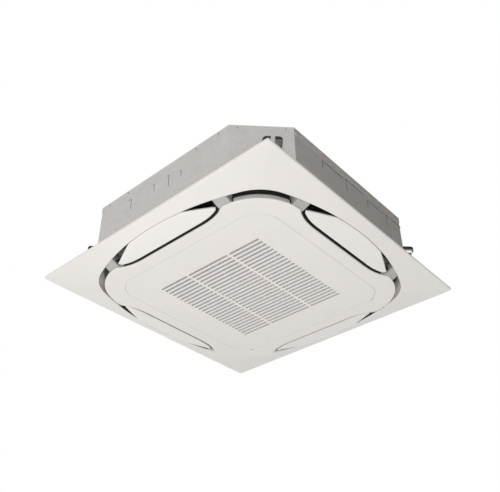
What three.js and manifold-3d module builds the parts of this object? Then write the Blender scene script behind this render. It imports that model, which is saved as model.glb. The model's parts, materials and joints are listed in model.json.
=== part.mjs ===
// Ceiling cassette air conditioner with an all-round air outlet.
// Millimetres, +Z up. The origin is the middle of the ceiling plane: the casing stands above it,
// and the white decoration panel hangs just below it.
import * as THREE from 'three';
import { mergeVertices } from 'three/addons/utils/BufferGeometryUtils.js';
import Module from 'manifold-3d';

const wasm = await Module();
wasm.setup();

// ---------------------------------------------------------------- driving dimensions

// clearances
const GAP = 0.3;               // between fixed pieces that only meet
const RUN = 0.4;               // round a turning pin, on the radius
const SEAM = 1.5;              // visible seam round flaps and grille
const COIL_ROOM = 7;           // from the drain pan's wall to the coil
const FAN_ROOM = 47;           // from the coil to the fan wheel
const PAN_ROOM = 8;            // from the fan wheel to the drain pan's bore
const MOUTH_ROOM = 6;          // from the bell mouth to the wheel's eye
const HUB_ROOM = 9;            // from the motor to the wheel's hub
const CLIP_ROOM = 0.5;         // from a clip's leg to the grille's tongue

// plan sizes, from the panel's edge inwards, at the middle of a side
const PANEL_SIDE = 950;
const PANEL_COVER = 55;        // panel's edge to the casing
const OUTLET_MARGIN = 38;      // panel's edge to the air outlet
const CHANNEL = 81;            // across the outlet, flap included
const FACE_BAND = 44.5;        // inner frame's face
const RECESS_DEPTH = 25;       // hollow in each side of the inner frame, for a flap
const LEDGE_WIDTH = 20;
const FILTER_MARGIN = 84;      // grille's edge to the filter

// the panel's proportions, as shares of the outlet's half side
const BOW_SHARE = 1.876;       // radius of the outlet's bowed side
const INNER_ROUND_SHARE = 0.366;
const FLAP_SHARE = 0.4714;     // half length of a flap
const CUT_SHARE = 0.1595;      // casing's cut corner, as a share of its side

// casing
const CASE_BASE = 12;          // lower edge above the ceiling plane
const CASE_TOP = 216;
const SHEET = 1.2;             // galvanised steel
const LID_LIP = 18;            // folded edge of the lid
const WALL_FOAM = 18;
const TOP_FOAM = 12;

// hanger brackets
const ROD_INSET_X = 67.5;      // from the casing's flat sides to the rods
const ROD_INSET_Y = 30;
const BRACKET_Z = 125;         // underside of the bracket's plate
const BRACKET_OUT = 51;
const BRACKET_WIDTH = 57;
const BRACKET_SHEET = 2.5;
const BRACKET_FLANGE = 10;
const BRACKET_RISE = 34;       // height of the riveted plate over the tongue
const BRACKET_DROP = 17;       // and below it
const BRACKET_ROUND = 12;
const ROD_SLOT = 12.5;
const ROD_SLOT_SEAT = 7;       // slot's closed end past the rod's centre

// panel
const PANEL_EDGE = 8;
const PANEL_FILLET = 2.5;
const PANEL_BOX_TOP = 8;       // top of the raised part that the casing sits on
const OUTLET_TURN = 21.5;      // degrees of bow before the corner arc starts
const OUTLET_Z = -21;          // height of the outlet's outer edge
const OUTLET_LAND = 9;         // upright part of the outlet's outer wall
const DUCT_LAP = 1;            // duct's top edge past the casing's inner face
const FACE_Z = -36;            // lowest face
const LIP_FILLET = 3;
const INNER_WALL = 3;
const DUCT_DRAFT = 12;         // lean of the outlet's inner wall
const LEDGE_Z = -20;

// suction grille
const GRILLE_ROUND = 76;
const GRILLE_SKIN = 3;
const GRILLE_SKIRT = 13;
const GRILLE_BEVEL = 1;
const SLOT_COUNT = 25;
const SLOT_WIDTH = 8.5;
const SLOT_INSET_X = 24.4;     // filter's edge to the outermost slots' centres
const SLOT_INSET_Y = 19;       // filter's edge to the slots' ends
const RIB_SHARE = 0.42;        // place of the two cross ribs along the slots
const SLOT_RIB = 8;
const BLADE_DEPTH = 8;
const BLADE_RIM = 4;           // thick plate past the slots
const HINGE_INSET = 5.5;       // grille's edge to its hinge axis
const HINGE_RISE = 3;          // hinge axis above the grille's face
const HINGE_PIN_R = 1.5;
const HINGE_PIN_LONG = 26.5;
const HINGE_PIN_START = 16.5;  // past the start of the grille's round corner
const HINGE_BOSS_R = 3;
const HINGE_BOSS_LONG = 9;
const HINGE_SEAT = 9;          // length of the pin's seat in the inner frame
const HINGE_RELIEF = 4;        // cleared round the axis where the seam crosses it
const CLIP_INSET = 11;
const CLIP_Y = 150;
const CLIP_WIDTH = 20;
const CLIP_SHEET = 1.2;
const CLIP_LEG = 9;
const TONGUE = 3;
const TONGUE_DROP = 3;         // top of the tongue below the ledge

// air filter
const FILTER_THICK = 6;
const FILTER_RIM = 6;
const FILTER_NET = 1.5;
const GUIDE_WALL = 3;
const HOOK = 3;
const HOOK_AT = 110;
const HOOK_HALF = 9;

// air flaps and what carries them
const FLAP_GAP = 11;           // from the inner frame to the flap
const FLAP_THICK = 6.5;
const FLAP_IN_Z = -33;         // lower face at the inner edge
const FLAP_OUT_Z = -22;        // and at the outer edge
const FLAP_NOSE = 47;          // outlet's edge to the blunt tip's outer corner
const FLAP_NOSE_ROUND = 5;
const FLAP_CUT_SHARE = 0.54;   // where the slanting end leaves the outer edge
const FLAP_AXIS_IN = 49;       // outlet's edge to the pins' axis
const FLAP_AXIS_Z = -16;
const FLAP_PIN_R = 3;
const FLAP_PIN_REACH = 10;     // into its support
const FLAP_EAR = 5;
const EAR_RIM = 1.5;
const RECESS_PAST = 19;        // recess's end past the flap's tip
const RECESS_FLAT_SHARE = 0.534;
const SUPPORT_PAST = 7;        // support's start past the flap's tip
const SUPPORT_WIDTH = 44;
const SUPPORT_ROOT = 30;       // length of block cut away inside the inner frame
const SUPPORT_IN_Z = -30;      // its face at the inner frame
const SUPPORT_OUT = 25;        // the outlet's edge to where its slope ends
const SUPPORT_OUT_Z = -16;
const SWING_MOTOR_R = 7;
const SWING_MOTOR_LONG = 14;
const SWING_MOTOR_IN = 23;     // from the support's start to the motor
const SWING_MOTOR_BLOCK = 4;

// drain pan and heat exchanger
const PAN_BASE = 14;
const PAN_TOP = 46;
const PAN_FLOOR = 10;
const PAN_WALL = 8;
const PLUG_R = 9;
const PLUG_HEAD = 12;
const PLUG_TALL = 7.7;
const PLUG_INSET = 29;         // coil's side to the plug's middle
const COIL_THICK = 44;
const COIL_ROUND = 90;
const COIL_INNER_ROUND = 60;
const COIL_LIFT = 2;           // over the pan's floor
const COIL_CLEAR = 2.5;        // below the top insulation
const FIN_SKIN = 3;
const PIPING_CORNER = 104;     // side of the corner that the coil leaves free
const TUBE_SHEET = 2;
const TUBE_SHEET_LAP = 2;
const PARTITION = 1.5;

// fan
const MOUTH_WALL = 2.5;
const MOUTH_LAP = 6;           // mouth's top edge inside the wheel's eye
const MOUTH_FLARE = 48;        // how far the mouth opens out
const MOUTH_FLANGE = 50;
const MOUTH_FLANGE_ROUND = 110;
const EYE_STEP = 40;           // wheel's rim to its eye
const WHEEL_BASE = 60;
const WHEEL_SKIN = 3;
const WHEEL_BELOW_MOTOR_TOP = 27.7;
const HUB_RIM = 3;
const HUB_DROP = 29;           // hub's lowest point below the motor
const HUB_WALL = 4;
const BLADE_COUNT = 7;
const BLADE_THICK = 5;
const BLADE_LONG = 86;
const SHAFT_R = 6;
const SHAFT_BELOW_HUB = 13;
const SHAFT_IN_MOTOR = 27;
const MOTOR_R = 66;
const MOTOR_LONG = 62.7;
const MOTOR_BRACKET_TALL = 10.2;
const MOTOR_BRACKET_SHEET = 2.5;
const MOTOR_FOOT = 28;
const NUT_R = 11;
const NUT_LONG = 8;

// pipes, drain and electrics
const GAS_R = 7.95;
const LIQUID_R = 4.75;
const PIPE_DEPTH = 66;         // pipes below the casing's top
const PIPE_WALL = 1;
const PIPE_OUT = 32;           // past the casing's side
const PIPE_BELOW_HOSE = 11.1;  // from the drain hose down to the liquid pipe
const FLARE_NUT_LONG = 18;
const GAS_NUT_R = 14;
const LIQUID_NUT_R = 10;
const HEADER_R = 9;
const STUB_R = 3.5;
const PUMP_R = 22;
const PUMP_IN = 50;            // from the coil's ends to the pump's middle, both ways
const PUMP_BASE = 28;
const PUMP_TALL = 124;
const SPOUT_DROP = 16;
const DRAIN_DEPTH = 48;
const DRAIN_R = 16;
const DRAIN_WALL = 3;
const DRAIN_FLANGE = 8;
const HOSE_R = 10;
const HOSE_BORE = 7;
const FLOAT_IN = 75;
const FLOAT_R = 11;
const FLOAT_TALL = 14;
const FLOAT_TRAVEL = 16;
const STEM_R = 3;
const STEM_FOOT = 3.4;
const BOX_HALF_LONG = 125;
const BOX_WIDE = 74;
const BOX_INSET = 5.5;         // from the ledge's edge
const BOX_TALL = 19.9;
const BOX_WALL = 1.5;
const BOX_LID = 2;
const BOARD_THICK = 1.6;
const POST_TALL = 5;
const SENSOR_LONG = 28;
const SENSOR_WIDE = 14;
const SENSOR_TALL = 9;

// ---------------------------------------------------------------- derived places

const PANEL_HALF = PANEL_SIDE / 2;
const OUTLET_MID = PANEL_HALF - OUTLET_MARGIN;
const OUTLET_BOW = OUTLET_MID * BOW_SHARE;
const INNER_MID = OUTLET_MID - CHANNEL;
const INNER_HALF = INNER_MID + RECESS_DEPTH;
const INNER_ROUND = OUTLET_MID * INNER_ROUND_SHARE;
const OPENING_HALF = INNER_MID - FACE_BAND;
const GRILLE_HALF = OPENING_HALF - SEAM;
const OPENING_ROUND = GRILLE_ROUND + SEAM;
const LEDGE_HALF = OPENING_HALF - LEDGE_WIDTH;
const RECESS_TOP = LEDGE_Z + INNER_WALL;

const CASE_HALF = PANEL_HALF - PANEL_COVER;
const CORNER = (CASE_HALF * (2 - CUT_SHARE * 2)) / Math.SQRT2;
const SHELL_HALF = CASE_HALF - SHEET - GAP;
const FOAM_HALF = SHELL_HALF - SHEET - GAP;
const AIR_HALF = FOAM_HALF - WALL_FOAM;
const AIR_CORNER = CORNER - (CASE_HALF - AIR_HALF);
const LID_UNDER = CASE_TOP - SHEET;
const FOAM_TOP = LID_UNDER - GAP;
const FOAM_UNDER = FOAM_TOP - TOP_FOAM;
const WALL_TOP = PAN_BASE - GAP;

const FLAP_TIP = OUTLET_MID * FLAP_SHARE;
const FLAP_IN = INNER_MID + FLAP_GAP;
const FLAP_OUT = OUTLET_MID - SEAM;
const FLAP_AXIS = OUTLET_MID - FLAP_AXIS_IN;
const FLAP_LEAN = (FLAP_OUT_Z - FLAP_IN_Z) / (FLAP_OUT - FLAP_IN);
const RECESS_HALF = FLAP_TIP + RECESS_PAST;
const RECESS_FLAT = FLAP_TIP * RECESS_FLAT_SHARE;
const SUPPORT_FROM = FLAP_TIP + SUPPORT_PAST;
const SUPPORT_TO = SUPPORT_FROM + SUPPORT_WIDTH;
const SWING_MOTOR_FROM = SUPPORT_FROM + SWING_MOTOR_IN;

const FILTER_HALF = GRILLE_HALF - FILTER_MARGIN;
const GRILLE_BACK = FACE_Z + GRILLE_SKIN;
const BLADE_TOP = FACE_Z + BLADE_DEPTH;
const FILTER_TOP = BLADE_TOP + GAP + FILTER_THICK;
const SLOT_ROW_END = FILTER_HALF - SLOT_INSET_Y;
const SLOT_PITCH = (2 * (FILTER_HALF - SLOT_INSET_X)) / (SLOT_COUNT - 1);
const SLOT_SPAN = FILTER_HALF - SLOT_INSET_X + SLOT_WIDTH / 2 + BLADE_RIM;
const HINGE_X = GRILLE_HALF - HINGE_INSET;
const HINGE_Z = FACE_Z + HINGE_RISE;
const HINGE_PIN_FROM = GRILLE_HALF - GRILLE_ROUND + HINGE_PIN_START;
const HINGE_PIN_TO = HINGE_PIN_FROM + HINGE_PIN_LONG;
const HINGE_BOSS_FROM = HINGE_PIN_FROM - HINGE_BOSS_R + 0.5;
const HINGE_BOSS_TO = HINGE_BOSS_FROM + HINGE_BOSS_LONG;
const HINGE_SEAT_TO = HINGE_PIN_TO + HINGE_BOSS_R;
const HINGE_SEAT_FROM = HINGE_SEAT_TO - HINGE_SEAT;
const CLIP_X = CLIP_INSET - GRILLE_HALF;

const PAN_INSIDE = PAN_BASE + PAN_FLOOR;
const COIL_HALF = INNER_MID - DUCT_DRAFT - PAN_WALL - COIL_ROOM;
const COIL_INNER = COIL_HALF - COIL_THICK;
const COIL_BASE = PAN_INSIDE + COIL_LIFT;
const COIL_TOP = FOAM_UNDER - COIL_CLEAR;
const COIL_END = COIL_HALF - PIPING_CORNER;
const BEHIND_SHEET = COIL_END + TUBE_SHEET + 2 * GAP;
const PLUG_AT = COIL_HALF - PLUG_INSET;

const WHEEL_R = COIL_INNER - FAN_ROOM;
const WHEEL_EYE_R = WHEEL_R - EYE_STEP;
const PAN_BORE = WHEEL_R + PAN_ROOM;
const MOUTH_R = WHEEL_EYE_R - MOUTH_ROOM;
const MOUTH_TOP = WHEEL_BASE + MOUTH_LAP;
const MOTOR_TOP = LID_UNDER - MOTOR_BRACKET_TALL - 2 * GAP;
const MOTOR_BASE = MOTOR_TOP - MOTOR_LONG;
const WHEEL_TOP = MOTOR_TOP - WHEEL_BELOW_MOTOR_TOP;
const HUB_R = MOTOR_R + HUB_ROOM + HUB_RIM;
const HUB_BASE = MOTOR_BASE - HUB_DROP;
const SHAFT_FROM = HUB_BASE - SHAFT_BELOW_HUB;
const SHAFT_TO = MOTOR_BASE + SHAFT_IN_MOTOR;

const PIPE_Z = CASE_TOP - PIPE_DEPTH;
const PIPE_END = CASE_HALF + PIPE_OUT;
const GAS_Y = BEHIND_SHEET + HEADER_R + 3;
const LIQUID_Y = GAS_Y + GAS_NUT_R + LIQUID_NUT_R + 4;
const HEADER_X = COIL_HALF - COIL_THICK / 2 + 1;
const PUMP_AT = COIL_END + PUMP_IN;
const PUMP_TOP = PUMP_BASE + PUMP_TALL;
const SPOUT_Z = PUMP_TOP - SPOUT_DROP;
const DRAIN_X = GAS_Y;
const DRAIN_Z = CASE_TOP - DRAIN_DEPTH;
const FLOAT_AT = COIL_END + FLOAT_IN;
const FLOAT_REST = PAN_INSIDE + GAP + STEM_FOOT + GAP;
const BOX_TOP = PAN_BASE - MOUTH_WALL - 2 * GAP;
const BOX_BASE = BOX_TOP - BOX_TALL;
const BOX_FAR = LEDGE_HALF - BOX_INSET;
const BOX_NEAR = BOX_FAR - BOX_WIDE;

// ---------------------------------------------------------------- plan outlines
// Each outline gives the distance from the middle at an angle. It is the same on all four sides.

// sample angles of one eighth of the outline, closer together towards the corner
const EIGHTH = [0, 9, 17, 22, 26, 29.5, 33, 37, 39.5, 42];
const ANGLES = sampleAngles();
const STEPS = ANGLES.length;

function sampleAngles() {
  const quarter = [...EIGHTH, 45, ...EIGHTH.slice(1).map((a) => 90 - a).reverse()];
  const all = [0, 90, 180, 270].flatMap((turn) => quarter.map((a) => a + turn));
  return all.map((a) => THREE.MathUtils.degToRad(a));
}

function fold(angle) {
  const c = Math.abs(Math.cos(angle));
  const s = Math.abs(Math.sin(angle));
  return { c: Math.max(c, s), s: Math.min(c, s) };
}

// square of half side h with corners of radius r
function roundSquare(h, r) {
  return (angle) => {
    const { c, s } = fold(angle);
    const k = h - r;
    if (h * s <= k * c) return h / c;
    return k * (c + s) + Math.sqrt(r * r - k * k * (c - s) ** 2);
  };
}

// square of half side h whose corners are cut square to the diagonal, at the distance d
function cutSquare(h, d) {
  return (angle) => {
    const { c, s } = fold(angle);
    return Math.min(h / c, (d * Math.SQRT2) / (c + s));
  };
}

// square with bowed sides and round corners: the outer edge of the air outlet
function bowedSquare(inset) {
  const bow = OUTLET_BOW - inset;
  const mid = OUTLET_MID - inset;
  const turn = THREE.MathUtils.degToRad(OUTLET_TURN);
  const x = mid - bow * (1 - Math.cos(turn));
  const y = bow * Math.sin(turn);
  const r = (x - y) / (Math.cos(turn) - Math.sin(turn));
  const k = x - r * Math.cos(turn);
  return (angle) => {
    const { c, s } = fold(angle);
    if (s * x <= c * y) {
      const m = mid - bow;
      return m * c + Math.sqrt(bow * bow - m * m * s * s);
    }
    return k * (c + s) + Math.sqrt(r * r - k * k * (c - s) ** 2);
  };
}

// how far the inner frame's edge lies from the middle, at y along a side
function recessEdge(y, inset) {
  const t = (Math.abs(y) - RECESS_FLAT) / (RECESS_HALF - RECESS_FLAT);
  const rise = RECESS_DEPTH * Math.max(0, Math.min(1, t)) ** 3;
  return INNER_MID + rise - inset;
}

// inner frame: round square with a shallow hollow in each side
function innerEdge(inset) {
  const square = roundSquare(INNER_HALF - inset, INNER_ROUND - inset);
  return (angle) => {
    const { c, s } = fold(angle);
    const full = square(angle);
    let reach = full;
    for (let i = 0; i < 12; i += 1) reach = Math.min(full, recessEdge(reach * s, inset) / c);
    return reach;
  };
}

function circle(r) {
  return () => r;
}

// ---------------------------------------------------------------- solids

function toSolid(geometry) {
  const bare = new THREE.BufferGeometry();
  bare.setAttribute('position', geometry.getAttribute('position').clone());
  if (geometry.index) bare.setIndex(geometry.index.clone());
  const merged = mergeVertices(bare, 1e-4);
  const vertProperties = new Float32Array(merged.getAttribute('position').array);
  const triVerts = new Uint32Array(merged.index.array);
  return new wasm.Manifold(new wasm.Mesh({ numProp: 3, vertProperties, triVerts }));
}

function toGeometry(solid) {
  const mesh = solid.getMesh();
  const geometry = new THREE.BufferGeometry();
  geometry.setAttribute('position', new THREE.BufferAttribute(new Float32Array(mesh.vertProperties), 3));
  geometry.setIndex(new THREE.BufferAttribute(new Uint32Array(mesh.triVerts), 1));
  return geometry;
}

// cuts and joins by plain geometries
function shaped(base, { add = [], cut = [] }) {
  let solid = toSolid(base);
  for (const piece of add) solid = solid.add(toSolid(piece));
  for (const piece of cut) solid = solid.subtract(toSolid(piece));
  return toGeometry(solid);
}

function loopPoints(outline, z) {
  return ANGLES.flatMap((angle) => {
    const reach = outline(angle);
    return [reach * Math.cos(angle), reach * Math.sin(angle), z];
  });
}

// faces between the loop that starts at vertex a and the one at b; every wall splits the same way
function band(index, a, b, rising) {
  for (let i = 0; i < STEPS; i += 1) {
    const next = (i + 1) % STEPS;
    if (rising) index.push(a + i, b + i, b + next, a + i, b + next, a + next);
    else index.push(a + i, b + i, a + next, b + i, b + next, a + next);
  }
}

// twice the area of a cross-section, positive when it runs the way that faces a ring outwards
function sectionArea(section) {
  let area = 0;
  section.forEach(([outline, z], i) => {
    const [next, nextZ] = section[(i + 1) % section.length];
    area += z * next(0) - outline(0) * nextZ;
  });
  return area;
}

// ring whose cross-section is the closed list of [outline, z]
function ring(list) {
  const section = sectionArea(list) > 0 ? list : [...list].reverse();
  const position = section.flatMap(([outline, z]) => loopPoints(outline, z));
  const index = [];
  section.forEach(([, z], j) => {
    const k = (j + 1) % section.length;
    band(index, j * STEPS, k * STEPS, z <= section[k][1]);
  });
  return indexed(position, index);
}

// full block between an outline at the height z0 and one at z1
function plug(outline0, z0, outline1, z1) {
  const position = [...loopPoints(outline0, z0), ...loopPoints(outline1, z1), 0, 0, z0, 0, 0, z1];
  const index = [];
  for (let i = 0; i < STEPS; i += 1) {
    const next = (i + 1) % STEPS;
    index.push(2 * STEPS, next, i);
    index.push(2 * STEPS + 1, STEPS + i, STEPS + next);
    index.push(i, next, STEPS + next, i, STEPS + next, STEPS + i);
  }
  return indexed(position, index);
}

function indexed(position, index) {
  const geometry = new THREE.BufferGeometry();
  geometry.setAttribute('position', new THREE.Float32BufferAttribute(position, 3));
  geometry.setIndex(index);
  return geometry;
}

function ordered(a, b) {
  return a < b ? [a, b] : [b, a];
}

function box(x0, x1, y0, y1, z0, z1) {
  const geometry = new THREE.BoxGeometry(x1 - x0, y1 - y0, z1 - z0);
  return geometry.translate((x0 + x1) / 2, (y0 + y1) / 2, (z0 + z1) / 2);
}

// outline drawn in plan, raised from z0 to z1
function slab(points, z0, z1, holes = []) {
  const shape = new THREE.Shape(points.map(([x, y]) => new THREE.Vector2(x, y)));
  shape.holes = holes.map((hole) => new THREE.Path(hole.map(([x, y]) => new THREE.Vector2(x, y))));
  const geometry = new THREE.ExtrudeGeometry(shape, { depth: z1 - z0, bevelEnabled: false });
  return geometry.translate(0, 0, z0);
}

// outline drawn in x and z, drawn out from y0 to y1
function slabAlongY(points, y0, y1) {
  const shape = new THREE.Shape(points.map(([x, z]) => new THREE.Vector2(x, z)));
  const geometry = new THREE.ExtrudeGeometry(shape, { depth: y1 - y0, bevelEnabled: false });
  return geometry.rotateX(Math.PI / 2).translate(0, y1, 0);
}

function rod(r, from, to, sides = 24) {
  const a = new THREE.Vector3(...from);
  const b = new THREE.Vector3(...to);
  const along = b.clone().sub(a);
  const geometry = new THREE.CylinderGeometry(r, r, along.length(), sides);
  const turn = new THREE.Quaternion().setFromUnitVectors(new THREE.Vector3(0, 1, 0), along.clone().normalize());
  const middle = a.add(b).multiplyScalar(0.5);
  return geometry.applyQuaternion(turn).translate(middle.x, middle.y, middle.z);
}

// turned about Z: profile points are [radius, z]
function turned(profile, sides = 48) {
  const points = profile.map(([r, z]) => new THREE.Vector2(r, z));
  return new THREE.LatheGeometry(points, sides).rotateX(Math.PI / 2);
}

function tube(r, points, sides = 12, steps = 24) {
  const path = new THREE.CatmullRomCurve3(points.map((p) => new THREE.Vector3(...p)), false, 'catmullrom', 0.2);
  const shape = new THREE.Shape();
  shape.absarc(0, 0, r, 0, Math.PI * 2, false);
  const round = new THREE.Shape(shape.getPoints(Math.ceil(sides / 2)).slice(0, -1));
  return new THREE.ExtrudeGeometry(round, { steps, extrudePath: path, bevelEnabled: false });
}

function quarterTurned(geometry, side) {
  return geometry.rotateZ((side * Math.PI) / 2);
}

// points of an octagon of half side h, corners cut at the distance d
function octagon(h, d) {
  const e = d * Math.SQRT2 - h;
  return [[h, -e], [h, e], [e, h], [-e, h], [-h, e], [-h, -e], [-e, -h], [e, -h]];
}

const inset = (d) => octagon(CASE_HALF - d, CORNER - d);

// ---------------------------------------------------------------- materials

function finish(color, roughness, metalness) {
  return new THREE.MeshStandardMaterial({ color, roughness, metalness });
}

const GALVANISED = finish(0xb9b8b4, 0.45, 0.9);
const ZINC = finish(0xc9cacb, 0.35, 1.0);
const COPPER = finish(0xb87350, 0.3, 1.0);
const BRASS = finish(0xc8a45c, 0.3, 1.0);
const FIN = finish(0xc4c8cc, 0.4, 1.0);
const PANEL_WHITE = finish(0xe9e6e2, 0.5, 0.0);
const FLAP_WHITE = finish(0xeceae6, 0.45, 0.0);
const SUPPORT_GREY = finish(0xb4b2af, 0.6, 0.0);
const FOAM = finish(0xe6e5df, 0.9, 0.0);
const DARK_FOAM = finish(0x2b2c2e, 0.95, 0.0);
const FAN_BLACK = finish(0x26282b, 0.6, 0.0);
const BOARD = finish(0x2c6a3f, 0.5, 0.0);
const RUBBER = finish(0x1c1c1c, 0.8, 0.0);
const FILTER_GREY = finish(0x5a6066, 0.8, 0.0);
const NATURAL = finish(0xd8d8d2, 0.6, 0.0);

const unit = new THREE.Group();

function place(name, geometry, material, group = unit) {
  const mesh = new THREE.Mesh(geometry, material);
  mesh.name = name;
  group.add(mesh);
  return mesh;
}

// ---------------------------------------------------------------- casing

function pipeOpening() {
  const margin = GAS_NUT_R + 4;
  const across = [GAS_Y - margin, LIQUID_Y + LIQUID_NUT_R];
  return box(AIR_HALF - 30, CASE_HALF, ...across, PIPE_Z - margin, PIPE_Z + margin);
}

function drainOpening() {
  return rod(DRAIN_R + 1, [DRAIN_X, AIR_HALF - 30, DRAIN_Z], [DRAIN_X, CASE_HALF, DRAIN_Z]);
}

function casingShell() {
  const outer = inset(SHEET + GAP);
  const inner = inset(SHEET + GAP + SHEET);
  const shell = slab(outer, CASE_BASE, LID_UNDER - GAP, [inner]);
  return shaped(shell, { cut: [pipeOpening(), drainOpening()] });
}

function topPlate() {
  const lip = slab(inset(0), CASE_TOP - LID_LIP, CASE_TOP);
  const hollow = slab(inset(SHEET), CASE_TOP - LID_LIP - 1, LID_UNDER);
  return shaped(lip, { cut: [hollow] });
}

function wallInsulation() {
  const outer = inset(CASE_HALF - FOAM_HALF);
  const inner = inset(CASE_HALF - AIR_HALF);
  const wall = slab(outer, CASE_BASE, FOAM_TOP - TOP_FOAM - GAP, [inner]);
  return shaped(wall, { cut: [pipeOpening(), drainOpening()] });
}

function topInsulation() {
  const sheet = inset(CASE_HALF - FOAM_HALF);
  const r = MOTOR_R + MOTOR_FOOT + 2;
  const hole = [];
  for (let i = 0; i < 32; i += 1) {
    const a = (i / 32) * Math.PI * 2;
    hole.push([r * Math.cos(a), r * Math.sin(a)]);
  }
  return slab(sheet, FOAM_TOP - TOP_FOAM, FOAM_TOP, [hole]);
}

// bracket drawn with its back plate at x = 0 and its tongue along +X, the plate's underside at z = 0
function hangerBracket(slotSeat) {
  const half = BRACKET_WIDTH / 2;
  const r = BRACKET_ROUND;
  const outline = (d) => {
    const points = [[0, -(half - d)], [BRACKET_OUT - r, -(half - d)]];
    for (let i = 1; i <= 4; i += 1) {
      const a = (-90 + i * 22.5) * (Math.PI / 180);
      points.push([BRACKET_OUT - r + (r - d) * Math.cos(a), -(half - r) + (r - d) * Math.sin(a)]);
    }
    const upper = points.map(([x, y]) => [x, -y]).reverse();
    return [...points, ...upper];
  };
  const plate = slab(outline(0), 0, BRACKET_SHEET);
  const flange = slab(outline(0), -BRACKET_FLANGE, BRACKET_SHEET / 2);
  const inside = slab(outline(BRACKET_SHEET), -BRACKET_FLANGE - 1, 0);
  const back = box(0, BRACKET_SHEET, -half, half, -BRACKET_DROP, BRACKET_RISE);
  const across = [-ROD_SLOT / 2, ROD_SLOT / 2];
  const slot = box(slotSeat, BRACKET_OUT + 1, ...across, -BRACKET_FLANGE - 1, BRACKET_SHEET + 1);
  return shaped(plate, { add: [shaped(flange, { cut: [inside] }), back], cut: [slot] });
}

function addBrackets() {
  const reach = Math.SQRT1_2;
  const corners = [[1, 1], [-1, 1], [-1, -1], [1, -1]];
  corners.forEach(([sx, sy], i) => {
    const rodX = sx * (CASE_HALF - ROD_INSET_X);
    const rodY = sy * (CASE_HALF - ROD_INSET_Y);
    const out = (sx * rodX + sy * rodY) * reach - (CORNER - SHEET - GAP) - GAP;
    const slide = (-sy * rodX + sx * rodY) * reach;
    const mesh = place(`hanger_bracket_${i + 1}`, hangerBracket(out - ROD_SLOT_SEAT), ZINC);
    const foot = CORNER - SHEET;
    mesh.position.set(
      (sx * foot - sy * slide) * reach,
      (sy * foot + sx * slide) * reach,
      BRACKET_Z,
    );
    mesh.rotation.z = Math.atan2(sy, sx);
  });
}

place('casing_shell', casingShell(), GALVANISED);
place('top_plate', topPlate(), GALVANISED);
place('wall_insulation', wallInsulation(), FOAM);
place('top_insulation', topInsulation(), FOAM);
addBrackets();

// ---------------------------------------------------------------- panel

const ductTop = cutSquare(AIR_HALF + DUCT_LAP, AIR_CORNER);
const panelBox = cutSquare(CASE_HALF - SHEET, CORNER - SHEET);

function outerFrame() {
  const rim = PANEL_HALF;
  return ring([
    [panelBox, PANEL_BOX_TOP],
    [panelBox, 0],
    [cutSquare(rim, rim * Math.SQRT2), 0],
    [cutSquare(rim, rim * Math.SQRT2), PANEL_FILLET - PANEL_EDGE],
    [cutSquare(rim - PANEL_FILLET, (rim - PANEL_FILLET) * Math.SQRT2), -PANEL_EDGE],
    [bowedSquare(0), OUTLET_Z],
    [bowedSquare(0), OUTLET_Z + OUTLET_LAND],
    [ductTop, PANEL_BOX_TOP],
  ]);
}

function innerFrame() {
  const opening = roundSquare(OPENING_HALF, OPENING_ROUND);
  const ledge = roundSquare(LEDGE_HALF, OPENING_ROUND);
  const behind = roundSquare(OPENING_HALF + INNER_WALL, OPENING_ROUND);
  const body = ring([
    [innerEdge(0), FACE_Z + LIP_FILLET],
    [innerEdge(LIP_FILLET), FACE_Z],
    [opening, FACE_Z],
    [opening, LEDGE_Z],
    [ledge, LEDGE_Z],
    [ledge, RECESS_TOP],
    [behind, RECESS_TOP],
    [behind, FACE_Z + INNER_WALL],
    [innerEdge(LIP_FILLET + INNER_WALL), FACE_Z + INNER_WALL],
    [innerEdge(DUCT_DRAFT + INNER_WALL), WALL_TOP],
    [innerEdge(DUCT_DRAFT), WALL_TOP],
  ]);
  const swing = plug(opening, FACE_Z - 1, opening, LEDGE_Z);
  const bosses = [];
  const cuts = [];
  for (const end of [-1, 1]) {
    const half = HINGE_PIN_R + HINGE_BOSS_R;
    const boss = box(
      HINGE_X - half, HINGE_X + half,
      ...ordered(end * HINGE_SEAT_FROM, end * HINGE_SEAT_TO),
      FACE_Z + INNER_WALL / 2, HINGE_Z + half,
    );
    bosses.push(shaped(boss, { cut: [swing] }));
    const bore = [HINGE_X, end * HINGE_BOSS_TO, HINGE_Z];
    cuts.push(rod(HINGE_PIN_R + RUN, bore, [HINGE_X, end * (HINGE_PIN_TO + RUN), HINGE_Z], 16));
    const reliefEnd = [HINGE_X, end * HINGE_SEAT_FROM, HINGE_Z];
    cuts.push(rod(HINGE_RELIEF, [HINGE_X, end * (HINGE_BOSS_TO - 2), HINGE_Z], reliefEnd, 20));
    cuts.push(box(
      HINGE_X - HINGE_RISE, HINGE_X + HINGE_RELIEF,
      ...ordered(end * (HINGE_BOSS_TO - 2), end * HINGE_SEAT_FROM),
      FACE_Z - 1, HINGE_Z,
    ));
  }
  return shaped(body, { add: bosses, cut: cuts });
}

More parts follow.
